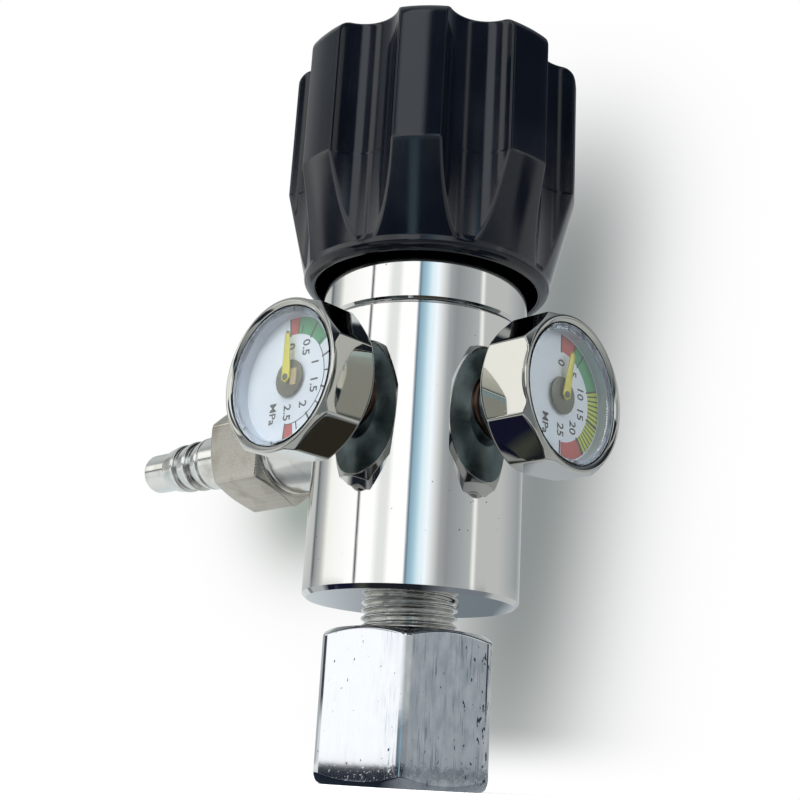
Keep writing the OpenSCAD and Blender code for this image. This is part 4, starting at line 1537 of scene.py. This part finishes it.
@dataclass
class Studio:
    """Camera, floor, lamps and the room that metal reflects.

    The room is a set of rings of tones by compass angle, in degrees from -180 to 180, 0 towards the
    viewer and rising to the right: skim, low, middle and high for rays that run level, slope up or rise
    steeply, and near, rear and horizon for the table.
    """

    camera_at: tuple[float, float, float] = (-8.094, -231.145, 2.065)
    right: tuple[float, float, float] = (0.997879, -0.034407, 0.055265)
    ahead: tuple[float, float, float] = (0.017093, 0.957614, 0.287547)
    lens: float = 56.25
    sensor: float = 36.0
    floor_rings: tuple[float, ...] = (1500.0, 600.0, 200.0, 60.0, 0.0)
    floor_z: float = -0.02
    shine: float = 1.6
    light: float = 0.85
    lamps: tuple[Lamp, ...] = (Lamp("key_lamp", (-420.0, -380.0, 620.0), 520.0, 9.0),
                               Lamp("fill_lamp", (520.0, -260.0, 380.0), 420.0, 2.5))
    wide_shade: Shade = Shade("#8b9190", 8.2, 17.6, 0.129, 4.2, 11.5, 21.4, 4.6)
    small_shade: Shade = Shade("#a0a8a2", -3.0, 11.5, 0.0, 2.6, 3.0, 3.0, 2.0)
    horizon: Marks = (
        (-180, Tone.LIGHT), (-120, Tone.PALE), (-82, Tone.PALE), (-74, Tone.COAL), (-21, Tone.COAL),
        (-19, Tone.SKY), (-14, Tone.SKY), (-12, Tone.COAL), (20, Tone.COAL), (45, Tone.DUSK),
        (75, Tone.DUSK), (180, Tone.DUSK))
    near: Marks = (
        (-180, Tone.LIGHT), (-120, Tone.SILVER), (-77, Tone.LIGHT), (-74, Tone.COAL), (-58, Tone.COAL),
        (-55, Tone.GREY), (-38, Tone.DIM), (-28, Tone.DUSK), (30, Tone.DUSK), (70, Tone.MIST),
        (120, Tone.MIST), (180, Tone.LIGHT))
    rear: Marks = (
        (-180, Tone.LIGHT), (-152, Tone.DIM), (-112, Tone.SHADE), (-60, Tone.SHADE), (0, Tone.DUSK),
        (70, Tone.MIST), (180, Tone.LIGHT))
    skim: Marks = (
        (-180, Tone.GREY), (-115, Tone.MIST), (-100, Tone.SILVER), (-84, Tone.SILVER), (-76, Tone.WHITE),
        (-54, Tone.WHITE), (-46, Tone.DUSK), (-12, Tone.STEEL), (-6, Tone.DIM), (40, Tone.DIM),
        (52, Tone.GREY), (64, Tone.GREY), (78, Tone.LIGHT), (125, Tone.GREY), (180, Tone.GREY))
    low: Marks = (
        (-180, Tone.GREY), (-112, Tone.MIST), (-104, Tone.IRON), (-80, Tone.IRON), (-74, Tone.WHITE),
        (-54, Tone.WHITE), (-30, Tone.PALE), (-6, Tone.LIGHT), (40, Tone.LIGHT), (52, Tone.GREY),
        (67, Tone.GREY), (70, Tone.COAL), (79, Tone.COAL), (84, Tone.LIGHT), (110, Tone.LIGHT),
        (180, Tone.GREY))
    middle: Marks = (
        (-180, Tone.MIST), (-152, Tone.LIGHT), (-137, Tone.LIGHT), (-131, Tone.SLATE), (-126, Tone.DIM),
        (-114, Tone.LIGHT), (-105, Tone.IVORY), (-66, Tone.WHITE), (-64, Tone.IRON), (-63, Tone.IRON),
        (-61, Tone.WHITE), (-46, Tone.WHITE), (-39, Tone.PALE), (-32, Tone.PALE), (-27, Tone.WHITE),
        (-11, Tone.WHITE), (-9, Tone.NAVY), (-7, Tone.STEEL), (-1, Tone.SKY), (4, Tone.AIR),
        (11, Tone.FROST), (18, Tone.SILVER), (25, Tone.GREY), (33, Tone.DIM), (50, Tone.GREY),
        (60, Tone.MIST), (64, Tone.IVORY), (68, Tone.LIGHT), (100, Tone.LIGHT), (124, Tone.GREY),
        (142, Tone.DIM), (180, Tone.MIST))
    high: Marks = (
        (-180, Tone.IRON), (-150, Tone.MIST), (-122, Tone.MIST), (-105, Tone.DIM), (-80, Tone.DIM),
        (-74, Tone.SHADE), (-68, Tone.PALE), (-56, Tone.IVORY), (-52, Tone.IRON), (-36, Tone.SLATE),
        (-32, Tone.FROST), (-13, Tone.FROST), (-9, Tone.COAL), (20, Tone.INK), (38, Tone.COAL),
        (43, Tone.LIGHT), (49, Tone.LIGHT), (53, Tone.COAL), (90, Tone.COAL), (125, Tone.SLATE),
        (180, Tone.IRON))

    def build(self) -> None:
        """Makes the whole setting."""
        self.camera()
        self.floor()
        for lamp in self.lamps:
            lamp.build()
        self.room()
        bpy.context.scene.view_settings.view_transform = "Standard"

    def camera(self) -> None:
        """Camera a few millimetres above the floor, looking up at the knob."""
        right, ahead = np.array(self.right), np.array(self.ahead)
        right /= np.linalg.norm(right)
        ahead -= right * (ahead @ right)
        ahead /= np.linalg.norm(ahead)
        data = bpy.data.cameras.new("camera")
        data.lens, data.sensor_width, data.clip_start = self.lens, self.sensor, 0.005
        made = linked("camera", data)
        matrix = np.eye(4)
        matrix[:3] = np.stack([right, np.cross(right, ahead), -ahead, np.array(self.camera_at) * MM], -1)
        made.matrix_world = Matrix(matrix.tolist())
        bpy.context.scene.camera = made

    def floor(self) -> None:
        """Pale paper floor that keeps the shadow and lets the eye through from below.

        Polished metal sees it as a duller, unevenly lit table. To the eye it glows a little, more
        further off, so that it meets the white backdrop.
        """
        profile = np.array([[r, 0.0] for r in self.floor_rings])
        skin = Skin().grid(turned(circle_angles(96), profile), wrap_cols=True)
        skin = skin.moved(standing(0.0, self.floor_z))
        paper = bpy.data.materials.new("pale_paper")
        paper.use_nodes = True
        tree = paper.node_tree
        tree.nodes.clear()
        where = add(tree, "TexCoord").outputs["Object"]
        path = add(tree, "LightPath").outputs
        eye, shine = path["Is Camera Ray"], path["Is Glossy Ray"]
        fibre = add(tree, "TexNoise", where, 900.0, 3.0)
        rise = add(tree, "Bump", 0.2, 0.0001, named={"Height": fibre})
        plain = add(tree, "BsdfPrincipled", "#f4f4f3", named={"Roughness": 0.7, "Normal": rise})
        reach = add(tree, "VectorMath", where, operation="LENGTH")
        glow = add(tree, "Emission", named={"Strength": add(tree, "MapRange", reach, 0.3, 0.9, 0.27, 0.6)})
        seen = add(tree, "MixShader", eye, plain, add(tree, "AddShader", plain, glow))
        seen = add(tree, "MixShader", shine, seen, add(tree, "Emission", self.table(tree, where), self.shine))
        under = add(tree, "Math", add(tree, "NewGeometry").outputs["Backfacing"], eye, operation="MULTIPLY")
        seen = add(tree, "MixShader", under, seen, add(tree, "BsdfTransparent"))
        add(tree, "OutputMaterial", seen)
        skin.object("floor", [paper])

    def rings(self, tree: Tree, x: Socket, y: Socket, *rings: Marks) -> list[Node]:
        """Rings of tones by the compass angle of a direction or place.

        Args:
            tree: the node tree.
            x: its part to the right.
            y: its part away from the viewer.
            rings: the tones of each ring.

        Returns:
            A ramp for each ring.
        """
        level = add(tree, "Math", y, -1.0, operation="MULTIPLY")
        angle = add(tree, "Math", x, level, operation="ARCTAN2")
        turn = add(tree, "MapRange", angle, -math.pi, math.pi)
        return [stops(add(tree, "ValToRGB", turn), [((mark + 180) / 360, code) for mark, code in ring])
                for ring in rings]

    def table(self, tree: Tree, where: Socket) -> Node:
        """The table's tone in polished metal.

        It is pale under the nut, dim in the object's own shadow, pale again further out to the left,
        dark far off in front, and grey behind.

        Args:
            tree: the floor's node tree.
            where: the place on the floor, in metres.

        Returns:
            The tone.
        """
        x, y, _ = add(tree, "SeparateXYZ", where).outputs
        level = add(tree, "CombineXYZ", x, y)
        reach = add(tree, "VectorMath", level, operation="LENGTH")
        near, rear, horizon = self.rings(tree, x, y, self.near, self.rear, self.horizon)
        # the object's own painted shadow, by distance, with painted shade on the bed to the right of the nut
        # and under its sole
        shadow = stops(add(tree, "ValToRGB", add(tree, "MapRange", reach, 0.0, 0.08)), [
            (0.0, "#3a3f39"), (0.38, "#3a3f39"), (0.42, "#14162a"), (0.60, "#14162a"), (0.70, "#a4a8aa")])
        bed = fade(tree, x, 0.004, 0.02, "#1b1e23", "#6f757c")
        sole = fade(tree, x, -0.004, 0.0, "#1c222b", "#7b7f84")
        tone = fade(tree, x, -0.026, -0.022, shadow, fade(tree, reach, 0.0215, 0.0205, bed, sole))
        # a painted dark spot in front on a plain ground, which polished metal shows as a dark reflection
        spot = add(tree, "VectorMath", level, (0.006, -0.048, 0.0), operation="DISTANCE")
        tone = fade(tree, y, -0.03, -0.036, tone, fade(tree, spot, 0.030, 0.024, "#a4a8aa", "#37342d"))
        # open ground to the right and behind, whose edge steps forward on the left
        edge = add(tree, "MapRange", x, -0.042, -0.046, 0.0, -0.055)
        behind = add(tree, "MapRange", add(tree, "Math", y, edge, operation="ADD"), 0.0, 0.01)
        clear = add(tree, "Math", add(tree, "MapRange", x, 0.045, 0.05), behind, operation="MAXIMUM")
        tone = add(tree, "Mix", clear, tone, rear, data_type="RGBA")
        # further out, and far behind
        tone = fade(tree, reach, 0.107, 0.112, tone, near)
        tone = fade(tree, reach, 0.40, 0.50, tone, horizon)
        far = stops(add(tree, "ValToRGB", add(tree, "MapRange", x, -0.06, 0.06)), [
            (0.15, "#bcc3c6"), (0.36, "#969ca1"), (0.55, "#6a6f76"), (0.85, "#5f696e"), (0.90, "#9ea3a8")])
        return fade(tree, y, 0.12, 0.18, tone, far)

    def room(self) -> None:
        """World: plain light, a pale backdrop for the eye, and the room's rings for shiny surfaces."""
        world = bpy.data.worlds.new("studio")
        bpy.context.scene.world = world
        world.use_nodes = True
        tree = world.node_tree
        tree.nodes.clear()
        x, y, z = add(tree, "SeparateXYZ", add(tree, "TexCoord").outputs["Generated"]).outputs
        rise = add(tree, "Math", add(tree, "Math", z, operation="ARCSINE"), operation="DEGREES")
        soft = add(tree, "Background", fade(tree, x, -0.8, 0.8, "#fbfcff", "#cfd1d4"), self.light)
        shine = add(tree, "Background", self.reflected(tree, x, y, rise), self.shine)
        seen = add(tree, "Background", self.backdrop(tree, x, y, rise), 1.0)
        path = add(tree, "LightPath").outputs
        seen = add(tree, "MixShader", path["Is Camera Ray"],
                   add(tree, "MixShader", path["Is Glossy Ray"], soft, shine), seen)
        add(tree, "OutputWorld", seen)

    def reflected(self, tree: Tree, x: Socket, y: Socket, rise: Node) -> Node:
        """Tone of the room in a reflected direction.

        Args:
            tree: the world's node tree.
            x: the direction's part to the right.
            y: its part away from the viewer.
            rise: its angle above the horizon, in degrees.

        Returns:
            The tone.
        """
        tone, low, middle, high, table = self.rings(
            tree, x, y, self.skim, self.low, self.middle, self.high, self.horizon)
        layers = ((2.0, 3.2, low), (7.0, 8.5, middle), (24.5, 27.0, high), (50.0, 75.0, "#8d9296"))
        for start, end, above in layers:
            tone = fade(tree, rise, start, end, tone, above)
        return fade(tree, rise, 0.30, 0.20, tone, table)

    def backdrop(self, tree: Tree, x: Socket, y: Socket, rise: Node) -> Node:
        """White backdrop with a wide painted soft shadow behind the object and a small one under the hose
        tail.

        Args:
            tree: the world's node tree.
            x: the direction's part to the right.
            y: its part away from the viewer.
            rise: its angle above the horizon, in degrees.

        Returns:
            The tone.
        """
        bearing = add(tree, "Math", add(tree, "Math", x, y, operation="ARCTAN2"), operation="DEGREES")
        wide, small = (shade.strength(tree, bearing, rise) for shade in (self.wide_shade, self.small_shade))
        foot = add(tree, "MapRange", rise, 0.0, 2.4, interpolation_type="SMOOTHSTEP")
        wide = add(tree, "Math", wide, foot, operation="MULTIPLY")
        wide = add(tree, "Mix", wide, "#ffffff", self.wide_shade.colour, data_type="RGBA")
        small = add(tree, "Mix", small, "#ffffff", self.small_shade.colour, data_type="RGBA")
        return add(tree, "Mix", 1.0, wide, small, data_type="RGBA", blend_type="MULTIPLY")


def main() -> None:
    """Builds every sub-assembly in order, then the studio round it."""
    logging.basicConfig(level=logging.INFO, format="%(name)s %(message)s")
    left, right = Place(-45.0), Place(45.0)
    parts = [
        InletNut(), Nipple(), HandKnob(), HoseTail(),
        Gauge("low", left, LOW_SCALE, -7.6), Gauge("high", right, HIGH_SCALE, 0.0),
        Spring("range_coil", "range_spring", "button_travel", 7.5, 1.6, 4.5, 80.2, 103.2, 4.5),
        Spring("poppet_coil", "poppet_spring", "poppet_travel", 3.0, 0.35, 4.0, 47.9, 55.27, 0.6),
        WoundTube("low", left), WoundTube("high", right), Dressing(), Studio(),
    ]
    for part in parts:
        log.info("building %s", type(part).__name__)
        part.build()


if __name__ == "__main__":
    main()
